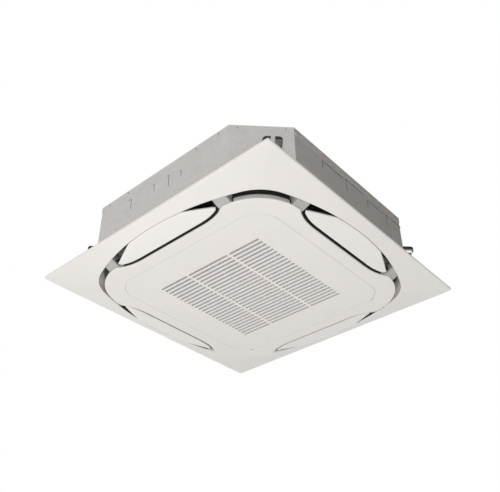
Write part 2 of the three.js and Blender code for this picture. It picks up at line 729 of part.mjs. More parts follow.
function supportBlock(side, end) {
  const foot = INNER_MID - SUPPORT_ROOT;
  const profile = [
    [foot, SUPPORT_IN_Z],
    [INNER_HALF, SUPPORT_IN_Z],
    [OUTLET_MID - SUPPORT_OUT, SUPPORT_OUT_Z],
    [OUTLET_MID, SUPPORT_OUT_Z],
    [OUTLET_MID, PANEL_BOX_TOP],
    [foot, PANEL_BOX_TOP],
  ];
  const block = slabAlongY(profile, ...ordered(end * SUPPORT_FROM, end * SUPPORT_TO));
  const inner = plug(innerEdge(-GAP), FACE_Z + LIP_FILLET, innerEdge(DUCT_DRAFT - GAP), WALL_TOP);
  const low = plug(bowedSquare(GAP), FACE_Z, bowedSquare(GAP), OUTLET_Z + OUTLET_LAND);
  const topEdge = cutSquare(AIR_HALF + DUCT_LAP - GAP, AIR_CORNER - GAP);
  const high = plug(bowedSquare(GAP), OUTLET_Z + OUTLET_LAND, topEdge, PANEL_BOX_TOP);
  const channel = toSolid(low).add(toSolid(high));
  const bore = rod(
    FLAP_PIN_R + RUN,
    [FLAP_AXIS, end * (SUPPORT_FROM - 1), FLAP_AXIS_Z],
    [FLAP_AXIS, end * SWING_MOTOR_FROM, FLAP_AXIS_Z],
    16,
  );
  let solid = toSolid(block).subtract(toSolid(inner)).intersect(channel).subtract(toSolid(bore));
  if (end > 0) solid = solid.subtract(motorPocket());
  return quarterTurned(toGeometry(solid), side);
}

// open at the top, so that the motor drops in from behind the panel
function motorPocket() {
  const r = SWING_MOTOR_R + GAP;
  const y0 = SWING_MOTOR_FROM;
  const y1 = SWING_MOTOR_FROM + SWING_MOTOR_LONG + GAP;
  const round = rod(r, [FLAP_AXIS, y0, FLAP_AXIS_Z], [FLAP_AXIS, y1, FLAP_AXIS_Z], 20);
  return toSolid(round).add(toSolid(box(FLAP_AXIS - r, FLAP_AXIS + r, y0, y1, FLAP_AXIS_Z, PANEL_BOX_TOP + 1)));
}

function swingMotor(side) {
  const y0 = SWING_MOTOR_FROM + GAP;
  const y1 = SWING_MOTOR_FROM + SWING_MOTOR_LONG;
  const can = rod(SWING_MOTOR_R, [FLAP_AXIS, y0, FLAP_AXIS_Z], [FLAP_AXIS, y1, FLAP_AXIS_Z], 20);
  const top = FLAP_AXIS_Z + SWING_MOTOR_R + SWING_MOTOR_BLOCK;
  const half = SWING_MOTOR_R * 0.7;
  const plugBlock = box(FLAP_AXIS - half, FLAP_AXIS + half, y0 + 3, y1 - 2, FLAP_AXIS_Z + half, top);
  return quarterTurned(shaped(can, { add: [plugBlock] }), side);
}

// flap for the side at +X: lens-shaped plate, leaning up towards its outer edge
function flap(side) {
  const outer = [];
  const bow = OUTLET_BOW - SEAM;
  const centre = FLAP_OUT - bow;
  const sweep = Math.asin((FLAP_TIP * FLAP_CUT_SHARE) / bow);
  for (let i = -6; i <= 6; i += 1) {
    const a = (sweep * i) / 6;
    outer.push([centre + bow * Math.cos(a), bow * Math.sin(a)]);
  }
  const half = [];
  for (const y of [0.98, 0.93, 0.85, 0.75, 0.65, 0.5]) {
    half.push([recessEdge(y * FLAP_TIP, 0) + FLAP_GAP, y * FLAP_TIP]);
  }
  const nose = OUTLET_MID - FLAP_NOSE;
  const tipOut = [nose, FLAP_TIP - 1.6 * FLAP_NOSE_ROUND];
  const tipMid = [nose - 0.3 * FLAP_NOSE_ROUND, FLAP_TIP - 0.5 * FLAP_NOSE_ROUND];
  const tipEnd = [nose - FLAP_NOSE_ROUND, FLAP_TIP];
  const tipIn = [half[0][0] + 3, FLAP_TIP];
  const mirror = ([x, y]) => [x, -y];
  const upper = [tipOut, tipMid, tipEnd, tipIn, ...half];
  const outline = [...outer, ...upper, ...upper.map(mirror).reverse()];
  const plate = slab(outline, 0, FLAP_THICK);
  const shear = new THREE.Matrix4().set(
    1, 0, 0, 0,
    0, 1, 0, 0,
    FLAP_LEAN, 0, 1, FLAP_IN_Z - FLAP_LEAN * FLAP_IN,
    0, 0, 0, 1,
  );
  plate.applyMatrix4(shear);
  const add = [];
  const low = FLAP_IN_Z + FLAP_LEAN * (FLAP_AXIS - FLAP_IN) + FLAP_THICK / 2;
  const earHalf = FLAP_PIN_R + EAR_RIM;
  for (const end of [-1, 1]) {
    const y0 = end * (FLAP_TIP - 1 - FLAP_EAR);
    const y1 = end * (FLAP_TIP - 1);
    const pinEnd = end > 0 ? SWING_MOTOR_FROM : SUPPORT_FROM + FLAP_PIN_REACH;
    add.push(box(
      FLAP_AXIS - earHalf, FLAP_AXIS + earHalf,
      ...ordered(y0, y1),
      low, FLAP_AXIS_Z + earHalf,
    ));
    add.push(rod(
      FLAP_PIN_R,
      [FLAP_AXIS, (y0 + y1) / 2, FLAP_AXIS_Z],
      [FLAP_AXIS, end * pinEnd, FLAP_AXIS_Z],
      16,
    ));
  }
  return quarterTurned(shaped(plate, { add }), side);
}

function panelGasket() {
  const outer = inset(SHEET + 1);
  const inner = inset(CASE_HALF - AIR_HALF - 1);
  return slab(outer, PANEL_BOX_TOP + GAP, CASE_BASE - GAP, [inner]);
}

place('panel_outer_frame', outerFrame(), PANEL_WHITE);
place('panel_inner_frame', innerFrame(), PANEL_WHITE);
place('panel_gasket', panelGasket(), DARK_FOAM);
for (let side = 0; side < 4; side += 1) {
  place(`flap_${side + 1}`, flap(side), FLAP_WHITE);
  place(`flap_support_${side + 1}_free`, supportBlock(side, -1), SUPPORT_GREY);
  place(`flap_support_${side + 1}_motor`, supportBlock(side, 1), SUPPORT_GREY);
  place(`swing_motor_${side + 1}`, swingMotor(side), NATURAL);
}

// ---------------------------------------------------------------- suction grille

function grille() {
  const outline = roundSquare(GRILLE_HALF, GRILLE_ROUND);
  const small = roundSquare(GRILLE_HALF - GRILLE_BEVEL, GRILLE_ROUND - GRILLE_BEVEL);
  const inside = roundSquare(GRILLE_HALF - GRILLE_SKIN, GRILLE_ROUND - GRILLE_SKIN);
  const skirtTop = FACE_Z + GRILLE_SKIRT;
  const core = GRILLE_HALF / 5;
  const skirt = ring([
    [small, FACE_Z],
    [outline, FACE_Z + GRILLE_BEVEL],
    [outline, skirtTop],
    [inside, skirtTop],
    [inside, GRILLE_BACK - 1],
    [circle(core), GRILLE_BACK - 1],
    [circle(core), FACE_Z],
  ]);
  const middle = plug(circle(core + 1), FACE_Z, circle(core + 1), GRILLE_BACK - 1);
  const skin = plug(inside, GRILLE_BACK - 1.5, inside, GRILLE_BACK);
  const blades = box(
    -SLOT_SPAN, SLOT_SPAN, -SLOT_ROW_END - BLADE_RIM, SLOT_ROW_END + BLADE_RIM, GRILLE_BACK - 1, BLADE_TOP,
  );
  const bosses = [-1, 1].map((end) => shaped(
    rod(HINGE_BOSS_R, [HINGE_X, end * HINGE_BOSS_FROM, HINGE_Z], [HINGE_X, end * HINGE_BOSS_TO, HINGE_Z], 16),
    { cut: [box(HINGE_X - 9, HINGE_X + 9, -CASE_HALF, CASE_HALF, FACE_Z - 9, FACE_Z + 0.5)] },
  ));
  const bores = [-1, 1].map((end) => rod(
    HINGE_PIN_R + GAP,
    [HINGE_X, end * (HINGE_PIN_FROM - GAP), HINGE_Z],
    [HINGE_X, end * HINGE_SEAT_TO, HINGE_Z],
    16,
  ));
  const tongues = [-1, 1].map((end) => box(
    CLIP_X - TONGUE / 2, CLIP_X + TONGUE / 2,
    end * CLIP_Y - CLIP_WIDTH / 2, end * CLIP_Y + CLIP_WIDTH / 2,
    GRILLE_BACK - 1, LEDGE_Z - TONGUE_DROP,
  ));
  let solid = toSolid(skirt);
  const added = [middle, skin, blades, ...filterGuides(), ...bosses, ...tongues];
  for (const piece of added) solid = solid.add(toSolid(piece));
  for (const piece of [...slots(), ...bores]) solid = solid.subtract(toSolid(piece));
  return toGeometry(solid);
}

// low walls round the filter, with hooks over its rim
function filterGuides() {
  const near = FILTER_HALF + GAP;
  const far = near + GUIDE_WALL;
  const pieces = [];
  for (const end of [-1, 1]) {
    const across = ordered(end * near, end * far);
    pieces.push(box(-far, far, ...across, GRILLE_BACK - 1, BLADE_TOP + FILTER_THICK));
    for (const x of [-HOOK_AT, HOOK_AT]) {
      const hook = ordered(end * (near - HOOK), end * far);
      pieces.push(box(x - HOOK_HALF, x + HOOK_HALF, ...hook, FILTER_TOP + GAP, FILTER_TOP + GAP + 2));
      pieces.push(box(x - HOOK_HALF, x + HOOK_HALF, ...across, GRILLE_BACK - 1, FILTER_TOP + GAP + 2));
    }
  }
  return pieces;
}

function slots() {
  const rib = SLOT_ROW_END * RIB_SHARE;
  const rows = [
    [-SLOT_ROW_END, -rib - SLOT_RIB / 2],
    [-rib + SLOT_RIB / 2, rib - SLOT_RIB / 2],
    [rib + SLOT_RIB / 2, SLOT_ROW_END],
  ];
  const boxes = [];
  for (let i = 0; i < SLOT_COUNT; i += 1) {
    const x = (i - (SLOT_COUNT - 1) / 2) * SLOT_PITCH;
    for (const [y0, y1] of rows) {
      boxes.push(box(x - SLOT_WIDTH / 2, x + SLOT_WIDTH / 2, y0, y1, FACE_Z - 1, BLADE_TOP + 1));
    }
  }
  return boxes;
}

function hingePin(end) {
  return rod(HINGE_PIN_R, [HINGE_X, end * HINGE_PIN_FROM, HINGE_Z], [HINGE_X, end * HINGE_PIN_TO, HINGE_Z], 16);
}

function airFilter() {
  const z0 = BLADE_TOP + GAP;
  const z1 = FILTER_TOP;
  const outer = FILTER_HALF;
  const rim = box(-outer, outer, -outer, outer, z0, z1);
  const cell = (outer * 2 - FILTER_RIM * 4) / 3;
  const cut = [];
  for (let i = 0; i < 3; i += 1) {
    for (let j = 0; j < 3; j += 1) {
      const x = -outer + FILTER_RIM + i * (cell + FILTER_RIM);
      const y = -outer + FILTER_RIM + j * (cell + FILTER_RIM);
      cut.push(box(x, x + cell, y, y + cell, z0 + FILTER_NET, z1 + 1));
    }
  }
  return shaped(rim, { cut });
}

// spring clip under the inner frame's ledge, holding the grille's tongue
function grilleClip(end) {
  const y0 = end * CLIP_Y - CLIP_WIDTH / 2;
  const y1 = end * CLIP_Y + CLIP_WIDTH / 2;
  const top = LEDGE_Z - GAP;
  const wide = TONGUE / 2 + CLIP_ROOM;
  const reach = wide + CLIP_SHEET;
  const base = box(CLIP_X - reach, CLIP_X + reach, y0, y1, top - CLIP_SHEET, top);
  const legs = [-1, 1].map((s) => {
    const leg = ordered(CLIP_X + s * wide, CLIP_X + s * reach);
    return box(...leg, y0, y1, top - CLIP_LEG, top - CLIP_SHEET / 2);
  });
  return shaped(base, { add: legs });
}

place('suction_grille', grille(), PANEL_WHITE);
place('air_filter', airFilter(), FILTER_GREY);
place('grille_hinge_pin_1', hingePin(-1), ZINC);
place('grille_hinge_pin_2', hingePin(1), ZINC);
place('grille_clip_1', grilleClip(-1), ZINC);
place('grille_clip_2', grilleClip(1), ZINC);

// ---------------------------------------------------------------- drain pan and heat exchanger

function drainPan() {
  const rim = innerEdge(DUCT_DRAFT);
  const well = innerEdge(DUCT_DRAFT + PAN_WALL);
  const floor = PAN_INSIDE;
  const dish = ring([
    [rim, PAN_BASE],
    [rim, PAN_TOP],
    [well, PAN_TOP],
    [well, floor],
    [circle(PAN_BORE + PAN_WALL), floor],
    [circle(PAN_BORE + PAN_WALL), PAN_TOP],
    [circle(PAN_BORE), PAN_TOP],
    [circle(PAN_BORE), PAN_BASE],
  ]);
  const arms = [];
  for (let side = 0; side < 4; side += 1) {
    for (const end of [-1, 1]) {
      const y = ordered(end * SUPPORT_FROM, end * SUPPORT_TO);
      const root = INNER_HALF - DUCT_DRAFT - PAN_WALL + 2;
      arms.push(quarterTurned(box(root, AIR_HALF - GAP, ...y, PAN_BASE, PAN_TOP), side));
    }
  }
  const hole = rod(PLUG_R, [-PLUG_AT, -PLUG_AT, PAN_BASE - 1], [-PLUG_AT, -PLUG_AT, floor + 1], 20);
  return shaped(dish, { add: arms, cut: [hole] });
}

function drainPlug() {
  const head = PAN_BASE - GAP;
  const top = PAN_INSIDE + 1;
  const low = head - PLUG_TALL;
  const profile = [
    [0, low], [PLUG_HEAD, low], [PLUG_HEAD, head], [PLUG_R - GAP, head], [PLUG_R - 1, top], [0, top],
  ];
  return turned(profile, 20).translate(-PLUG_AT, -PLUG_AT, 0);
}

// Two skins stand for the fin pack. Together they hold about as much metal as its fins and tubes.
function heatExchanger() {
  const outer = roundSquare(COIL_HALF, COIL_ROUND);
  const inner = roundSquare(COIL_INNER, COIL_INNER_ROUND);
  const base = COIL_BASE;
  const block = ring([[outer, base], [outer, COIL_TOP], [inner, COIL_TOP], [inner, base]]);
  const far = roundSquare(COIL_HALF - FIN_SKIN, COIL_ROUND - FIN_SKIN);
  const near = roundSquare(COIL_INNER + FIN_SKIN, COIL_INNER_ROUND + FIN_SKIN);
  const low = base + FIN_SKIN;
  const high = COIL_TOP - FIN_SKIN;
  const hollow = ring([[far, low], [far, high], [near, high], [near, low]]);
  return shaped(block, { cut: [hollow, box(COIL_END, CASE_HALF, COIL_END, CASE_HALF, 0, CASE_TOP)] });
}

function tubeSheet(second) {
  const from = COIL_END + GAP;
  const x0 = COIL_INNER - TUBE_SHEET_LAP;
  const x1 = COIL_HALF + TUBE_SHEET_LAP;
  const sheet = box(x0, x1, from, from + TUBE_SHEET, COIL_BASE, COIL_TOP);
  return second ? mirrored(sheet) : sheet;
}

// swaps x and y
function mirrored(geometry) {
  const swap = new THREE.Matrix4().set(0, 1, 0, 0, 1, 0, 0, 0, 0, 0, 1, 0, 0, 0, 0, 1);
  const flipped = geometry.applyMatrix4(swap);
  const index = flipped.index;
  for (let i = 0; i < index.count; i += 3) {
    const a = index.getX(i);
    index.setX(i, index.getX(i + 1));
    index.setX(i + 1, a);
  }
  return flipped;
}

// sheet that keeps the piping corner out of the air stream
function cornerPartition() {
  const near = BEHIND_SHEET;
  const far = COIL_INNER - TUBE_SHEET_LAP;
  const t = PARTITION;
  const bend = far - 4 * t;
  const plan = [
    [far, near], [far, near + t], [bend, near + t], [near + t, bend],
    [near + t, far], [near, far], [near, bend - t / 2], [bend - t / 2, near],
  ];
  return slab(plan, COIL_BASE, COIL_TOP);
}

function coilHeader() {
  const low = COIL_BASE + STUB_R * 6;
  const high = COIL_TOP - STUB_R * 3;
  const post = rod(HEADER_R, [HEADER_X, GAS_Y, low], [HEADER_X, GAS_Y, high], 20);
  const stubs = [0.15, 0.5, 0.85].map((share) => {
    const z = low + share * (high - low);
    return rod(STUB_R, [HEADER_X, BEHIND_SHEET, z], [HEADER_X, GAS_Y, z], 12);
  });
  return shaped(post, { add: stubs });
}

function gasPipe() {
  const from = HEADER_X + HEADER_R + GAP;
  const outer = rod(GAS_R, [from, GAS_Y, PIPE_Z], [PIPE_END, GAS_Y, PIPE_Z], 20);
  const bore = rod(GAS_R - PIPE_WALL, [from + 2, GAS_Y, PIPE_Z], [PIPE_END + 1, GAS_Y, PIPE_Z], 20);
  return shaped(outer, { cut: [bore] });
}

function liquidPipe() {
  const side = COIL_HALF - LIQUID_R * 2.4;
  const low = SPOUT_Z - HOSE_R - LIQUID_R - PIPE_BELOW_HOSE;
  const start = AIR_HALF + GAP;
  const path = [
    [BEHIND_SHEET, side, low],
    [BEHIND_SHEET + HEADER_R * 3.8, side, low],
    [HEADER_X - HEADER_R, side - HEADER_R, low + LIQUID_R * 3],
    [COIL_HALF, LIQUID_Y + HEADER_R, PIPE_Z - LIQUID_R],
    [COIL_HALF + HEADER_R * 3, LIQUID_Y, PIPE_Z],
    [start, LIQUID_Y, PIPE_Z],
    [PIPE_END, LIQUID_Y, PIPE_Z],
  ];
  const bore = rod(LIQUID_R - PIPE_WALL, [start, LIQUID_Y, PIPE_Z], [PIPE_END + 1, LIQUID_Y, PIPE_Z], 12);
  return shaped(tube(LIQUID_R, path, 12, 14), { cut: [bore] });
}

function flareNut(y, pipeR, nutR) {
  const from = [PIPE_END - FLARE_NUT_LONG - 2, y, PIPE_Z];
  const to = [PIPE_END - 2, y, PIPE_Z];
  const nut = rod(nutR, from, to, 6);
  return shaped(nut, { cut: [rod(pipeR + GAP, [from[0] - 1, y, PIPE_Z], [PIPE_END, y, PIPE_Z], 20)] });
}

function pipePlate() {
  const x0 = CASE_HALF - SHEET;
  const margin = GAS_NUT_R + 10;
  const plate = box(x0, x0 + SHEET, GAS_Y - margin, LIQUID_Y + GAS_NUT_R, PIPE_Z - margin, PIPE_Z + margin);
  const holes = [[GAS_Y, GAS_R], [LIQUID_Y, LIQUID_R]].map(([y, r]) => rod(
    r + 1, [x0 - 1, y, PIPE_Z], [x0 + 2 * SHEET, y, PIPE_Z], 20,
  ));
  return shaped(plate, { cut: holes });
}

place('drain_pan', drainPan(), NATURAL);
place('drain_plug', drainPlug(), RUBBER);
place('heat_exchanger', heatExchanger(), FIN);
place('tube_sheet_1', tubeSheet(false), GALVANISED);
place('tube_sheet_2', tubeSheet(true), GALVANISED);
place('corner_partition', cornerPartition(), GALVANISED);
place('coil_header', coilHeader(), COPPER);
place('gas_pipe', gasPipe(), COPPER);
place('liquid_pipe', liquidPipe(), COPPER);
place('gas_flare_nut', flareNut(GAS_Y, GAS_R, GAS_NUT_R), BRASS);
place('liquid_flare_nut', flareNut(LIQUID_Y, LIQUID_R, LIQUID_NUT_R), BRASS);
place('pipe_plate', pipePlate(), GALVANISED);

// ---------------------------------------------------------------- drain

function drainPump() {
  const body = PUMP_BASE + PUMP_TALL * 0.27;
  const neck = PUMP_BASE + PUMP_TALL * 0.65;
  const can = PUMP_R - 3;
  const profile = [
    [0, PUMP_BASE], [PUMP_R / 3, PUMP_BASE], [PUMP_R / 2.5, body - 4], [PUMP_R, body],
    [PUMP_R, neck - 4], [can - 3, neck], [can - 3, neck + 6], [can, neck + 8], [can, PUMP_TOP], [0, PUMP_TOP],
  ];
  const whole = turned(profile, 24).translate(PUMP_AT, PUMP_AT, 0);
  const tip = [PUMP_AT, PUMP_AT + PUMP_R + HOSE_BORE, SPOUT_Z];
  const spout = rod(HOSE_BORE - 2 * GAP, [PUMP_AT, PUMP_AT, SPOUT_Z], tip, 16);
  return shaped(whole, { add: [spout] });
}

function drainHose() {
  const from = PUMP_AT + PUMP_R + DRAIN_WALL;
  const rise = DRAIN_Z - SPOUT_Z;
  const run = AIR_HALF - PUMP_AT;
  const shift = DRAIN_X - PUMP_AT;
  const bend = [
    [PUMP_AT, from + HOSE_R, SPOUT_Z],
    [PUMP_AT + shift * 0.26, PUMP_AT + run * 0.48, SPOUT_Z + rise * 0.38],
    [PUMP_AT + shift * 0.77, PUMP_AT + run * 0.62, SPOUT_Z + rise * 0.81],
    [DRAIN_X, PUMP_AT + run * 0.75, DRAIN_Z],
    [DRAIN_X, PUMP_AT + run * 0.86, DRAIN_Z],
  ];
  const outside = [[PUMP_AT, from, SPOUT_Z], ...bend, [DRAIN_X, AIR_HALF - 4, DRAIN_Z]];
  const inside = [[PUMP_AT, from - 1, SPOUT_Z], ...bend, [DRAIN_X, AIR_HALF, DRAIN_Z]];
  return shaped(tube(HOSE_R, outside, 12, 12), { cut: [tube(HOSE_BORE, inside, 12, 12)] });
}

function drainSocket() {
  const at = (y) => [DRAIN_X, y, DRAIN_Z];
  const spigotLong = HOSE_R + 4;
  const pipe = rod(DRAIN_R, at(AIR_HALF), at(PIPE_END - 4), 24);
  const flange = rod(DRAIN_R + DRAIN_FLANGE, at(CASE_HALF - SHEET), at(CASE_HALF + 1), 24);
  const spigot = rod(HOSE_BORE - 2 * GAP, at(AIR_HALF - spigotLong), at(AIR_HALF + 1), 16);
  const bore = rod(DRAIN_R - DRAIN_WALL, at(AIR_HALF + DRAIN_WALL), at(PIPE_END), 24);
  const small = rod(HOSE_BORE - DRAIN_WALL, at(AIR_HALF - spigotLong - 1), at(AIR_HALF + DRAIN_WALL + 1), 12);
  return shaped(pipe, { add: [flange, spigot], cut: [bore, small] });
}

function floatStem() {
  const top = FLOAT_REST + FLOAT_TALL + FLOAT_TRAVEL + GAP;
  const foot = FLOAT_REST - GAP;
  const profile = [
    [0, foot - STEM_FOOT], [FLOAT_R + 1, foot - STEM_FOOT], [FLOAT_R + 1, foot], [STEM_R, foot],
    [STEM_R, top], [STEM_R * 2, top], [STEM_R * 2, top + 2 * STEM_R], [0, top + 2 * STEM_R],
  ];
  return turned(profile, 20).translate(FLOAT_AT, FLOAT_AT, 0);
}

function floatRing() {
  const top = FLOAT_REST + FLOAT_TALL;
  const bore = STEM_R + RUN;
  const profile = [[bore, FLOAT_REST], [FLOAT_R, FLOAT_REST], [FLOAT_R, top], [bore, top], [bore, FLOAT_REST]];
  return turned(profile, 20).translate(FLOAT_AT, FLOAT_AT, 0);
}

place('drain_pump', drainPump(), NATURAL);
place('drain_hose', drainHose(), RUBBER);
place('drain_socket', drainSocket(), NATURAL);
place('float_stem', floatStem(), NATURAL);
place('float', floatRing(), NATURAL);

// ---------------------------------------------------------------- fan

function bellMouth() {
  const z1 = PAN_BASE - GAP;
  const z0 = z1 - MOUTH_WALL;
  const flange = roundSquare(MOUTH_R + MOUTH_FLARE + MOUTH_FLANGE, MOUTH_FLANGE_ROUND);
  const tall = MOUTH_TOP - z1;
  const steps = [
    [MOUTH_R + MOUTH_FLARE, 0], [MOUTH_R + MOUTH_FLARE * 0.38, tall * 0.19],
    [MOUTH_R, tall * 0.69], [MOUTH_R, tall],
  ];
  const over = steps.map(([r, rise]) => [circle(r + MOUTH_WALL), z1 + rise]);
  const under = steps.map(([r, rise]) => [circle(r), z0 + rise]);
  under[under.length - 1] = [circle(MOUTH_R), MOUTH_TOP];
  return ring([[flange, z0], [flange, z1], ...over, ...under.reverse()]);
}

function wheel() {
  const bore = SHAFT_R + GAP;
  const skin = WHEEL_SKIN;
  const bowl = HUB_R - HUB_RIM;
  const mid = HUB_BASE + HUB_DROP / 2;
  const brim = MOTOR_BASE + 1;
  const back = [
    [bore, HUB_BASE], [SHAFT_R + 20, HUB_BASE], [HUB_R - 8, mid], [HUB_R, brim],
    [HUB_R + 2, WHEEL_TOP - skin], [WHEEL_R, WHEEL_TOP - skin], [WHEEL_R, WHEEL_TOP],
    [HUB_R - 1, WHEEL_TOP], [bowl, brim], [bowl - 7, mid + HUB_WALL],
    [SHAFT_R + 19, HUB_BASE + HUB_WALL], [bore, HUB_BASE + HUB_WALL], [bore, HUB_BASE],
  ];
  const eye = WHEEL_EYE_R;
  const low = WHEEL_BASE;
  const shroud = [
    [eye, low], [eye + skin, low], [eye + 7, low + 4 * skin],
    [WHEEL_R, low + EYE_STEP * 0.7], [WHEEL_R, low + EYE_STEP * 0.7 + skin], [eye + 5, low + 5 * skin],
    [eye, low + skin], [eye, low],
  ];
  const foot = MOUTH_TOP + 2 * skin;
  const reach = [
    [WHEEL_R - BLADE_LONG - 9, foot], [eye + 4.5, foot], [WHEEL_R - 1, low + EYE_STEP * 0.7 + 1],
    [WHEEL_R - 1, WHEEL_TOP - 1], [WHEEL_R - BLADE_LONG - 9, WHEEL_TOP - 1], [WHEEL_R - BLADE_LONG - 9, foot],
  ];
  let blades = toSolid(bladeAt(0));
  for (let i = 1; i < BLADE_COUNT; i += 1) blades = blades.add(toSolid(bladeAt(i)));
  blades = blades.intersect(toSolid(turned(reach, 36)));
  return toGeometry(toSolid(turned(back, 36)).add(toSolid(turned(shroud, 36))).add(blades));
}

// backward-curved blade, thickest in the middle
function bladeAt(i) {
  const upper = [];
  const lower = [];
  for (let k = 0; k <= 5; k += 1) {
    const t = k / 5;
    const r = WHEEL_R - BLADE_LONG * (1 - t);
    const a = (i / BLADE_COUNT) * Math.PI * 2 + 0.5 * t + 0.12 * t * t;
    const half = BLADE_THICK * (0.35 + 0.5 * t * (1 - t)) / r;
    upper.push([r * Math.cos(a + half), r * Math.sin(a + half)]);
    lower.push([r * Math.cos(a - half), r * Math.sin(a - half)]);
  }
  return slab([...lower, ...upper.reverse()], WHEEL_BASE + 1, WHEEL_TOP);
}

function fanMotor() {
  const can = [
    [0, MOTOR_BASE], [20, MOTOR_BASE], [24, MOTOR_BASE + 6], [MOTOR_R - 6, MOTOR_BASE + 9],
    [MOTOR_R, MOTOR_BASE + 14], [MOTOR_R, MOTOR_TOP], [0, MOTOR_TOP],
  ];
  const bore = rod(SHAFT_R + RUN, [0, 0, MOTOR_BASE - 1], [0, 0, SHAFT_TO + 1], 24);
  return shaped(turned(can, 40), { cut: [bore] });
}

function motorBracket() {
  const z0 = MOTOR_TOP + GAP;
  const disc = rod(MOTOR_R + MOTOR_FOOT / 2, [0, 0, z0], [0, 0, z0 + MOTOR_BRACKET_SHEET], 40);
  const half = MOTOR_FOOT / 2;
  const feet = [];
  for (let i = 0; i < 4; i += 1) {
    feet.push(quarterTurned(box(MOTOR_R - 8, MOTOR_R + half + 10, -half, half, z0, LID_UNDER - GAP), i));
  }
  return shaped(disc, { add: feet });
}

function fanNut() {
  const z1 = HUB_BASE - GAP;
  const nut = rod(NUT_R, [0, 0, z1 - NUT_LONG], [0, 0, z1], 6);
  return shaped(nut, { cut: [rod(SHAFT_R + GAP, [0, 0, z1 - NUT_LONG - 1], [0, 0, z1 + 1], 24)] });
}

place('bell_mouth', bellMouth(), FAN_BLACK);
place('fan_impeller', wheel(), FAN_BLACK);
place('motor_shaft', rod(SHAFT_R, [0, 0, SHAFT_FROM], [0, 0, SHAFT_TO], 24), ZINC);
place('fan_nut', fanNut(), ZINC);
place('fan_motor', fanMotor(), GALVANISED);
place('motor_bracket', motorBracket(), GALVANISED);

// ---------------------------------------------------------------- electrics

function controlBox() {
  const w = BOX_WALL;
  const outer = box(BOX_NEAR, BOX_FAR, -BOX_HALF_LONG, BOX_HALF_LONG, BOX_BASE, BOX_TOP);
  const inside = BOX_HALF_LONG - w;
  const hollow = box(BOX_NEAR + w, BOX_FAR - w, -inside, inside, BOX_BASE - 1, BOX_TOP - w);
  const posts = [];
  for (const x of [BOX_NEAR + 12, BOX_FAR - 12]) {
    for (const y of [20 - BOX_HALF_LONG, BOX_HALF_LONG - 20]) {
      posts.push(box(x - 3, x + 3, y - 3, y + 3, BOX_TOP - POST_TALL, BOX_TOP - w / 2));
    }
  }
  const open = shaped(outer, { cut: [hollow] });
  return shaped(open, { add: posts });
}

function controlBoxLid() {
  const top = BOX_BASE - GAP;
  return box(BOX_NEAR, BOX_FAR, -BOX_HALF_LONG, BOX_HALF_LONG, top - BOX_LID, top);
}

function circuitBoard() {
  const top = BOX_TOP - POST_TALL - GAP;
  const half = BOX_HALF_LONG - 13;
  const x0 = BOX_NEAR + 5;
  const wide = BOX_WIDE - 10;
  const board = box(x0, x0 + wide, -half, half, top - BOARD_THICK, top);
  const items = [
    [0.1, 0.55, -0.86, -0.36, 10], [0.6, 0.88, -0.62, -0.18, 8],
    [0.16, 0.46, 0, 0.18, 10], [0.55, 0.88, 0.36, 0.93, 9],
  ];
  const add = items.map(([xa, xb, ya, yb, tall]) => box(
    x0 + xa * wide, x0 + xb * wide, ya * half, yb * half, top - tall, top - 1,
  ));
  return shaped(board, { add });
}

function airSensor() {
  const y0 = BOX_HALF_LONG + SENSOR_WIDE;
  const x0 = MOUTH_R + MOUTH_FLARE + 4;
  return box(x0, x0 + SENSOR_WIDE, y0, y0 + SENSOR_LONG, BOX_TOP - SENSOR_TALL, BOX_TOP);
}

place('control_box', controlBox(), GALVANISED);
place('control_box_lid', controlBoxLid(), GALVANISED);
place('circuit_board', circuitBoard(), BOARD);
place('room_air_sensor', airSensor(), NATURAL);

export default unit;
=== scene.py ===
"""Ceiling cassette air conditioner with an all-round outlet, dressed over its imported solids.

Lengths in the making functions are millimetres; they become metres where a mesh is written.
"""
import json
import math
from contextlib import contextmanager

import bmesh
import bpy
from bpy.props import FloatProperty, FloatVectorProperty, IntProperty, PointerProperty
from mathutils import Matrix, Vector


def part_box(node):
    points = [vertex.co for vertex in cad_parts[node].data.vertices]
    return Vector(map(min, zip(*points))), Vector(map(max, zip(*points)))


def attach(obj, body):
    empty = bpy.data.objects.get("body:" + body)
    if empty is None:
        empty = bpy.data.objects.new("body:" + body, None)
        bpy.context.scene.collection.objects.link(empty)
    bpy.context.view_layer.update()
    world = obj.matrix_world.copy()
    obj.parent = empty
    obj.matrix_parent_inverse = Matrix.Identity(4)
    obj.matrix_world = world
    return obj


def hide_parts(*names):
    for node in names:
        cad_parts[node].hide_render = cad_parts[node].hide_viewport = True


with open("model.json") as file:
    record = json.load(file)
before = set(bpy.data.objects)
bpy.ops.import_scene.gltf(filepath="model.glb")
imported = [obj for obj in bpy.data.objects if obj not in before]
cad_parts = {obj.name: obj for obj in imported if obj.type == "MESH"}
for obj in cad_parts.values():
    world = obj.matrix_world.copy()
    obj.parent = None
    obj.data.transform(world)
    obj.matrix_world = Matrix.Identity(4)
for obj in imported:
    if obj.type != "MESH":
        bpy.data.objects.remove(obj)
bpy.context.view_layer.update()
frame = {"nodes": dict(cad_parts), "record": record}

bl_info = {
    "name": "Ceiling cassette dressing",
    "version": (1, 0, 0),
    "blender": (4, 5, 0),
    "location": "3D View > Sidebar > Cassette",
    "description": "Builds the visible pieces, finishes and studio of a ceiling cassette air conditioner",
    "category": "Object",
}

MM = 0.001
ROOT = "unit"
SLOTS = {part["node"]: part["material_slot"] for part in frame["record"]["subparts"]}
QUARTER = math.pi / 2

# ------------------------------------------------------------ sizes shared by the pieces, in mm

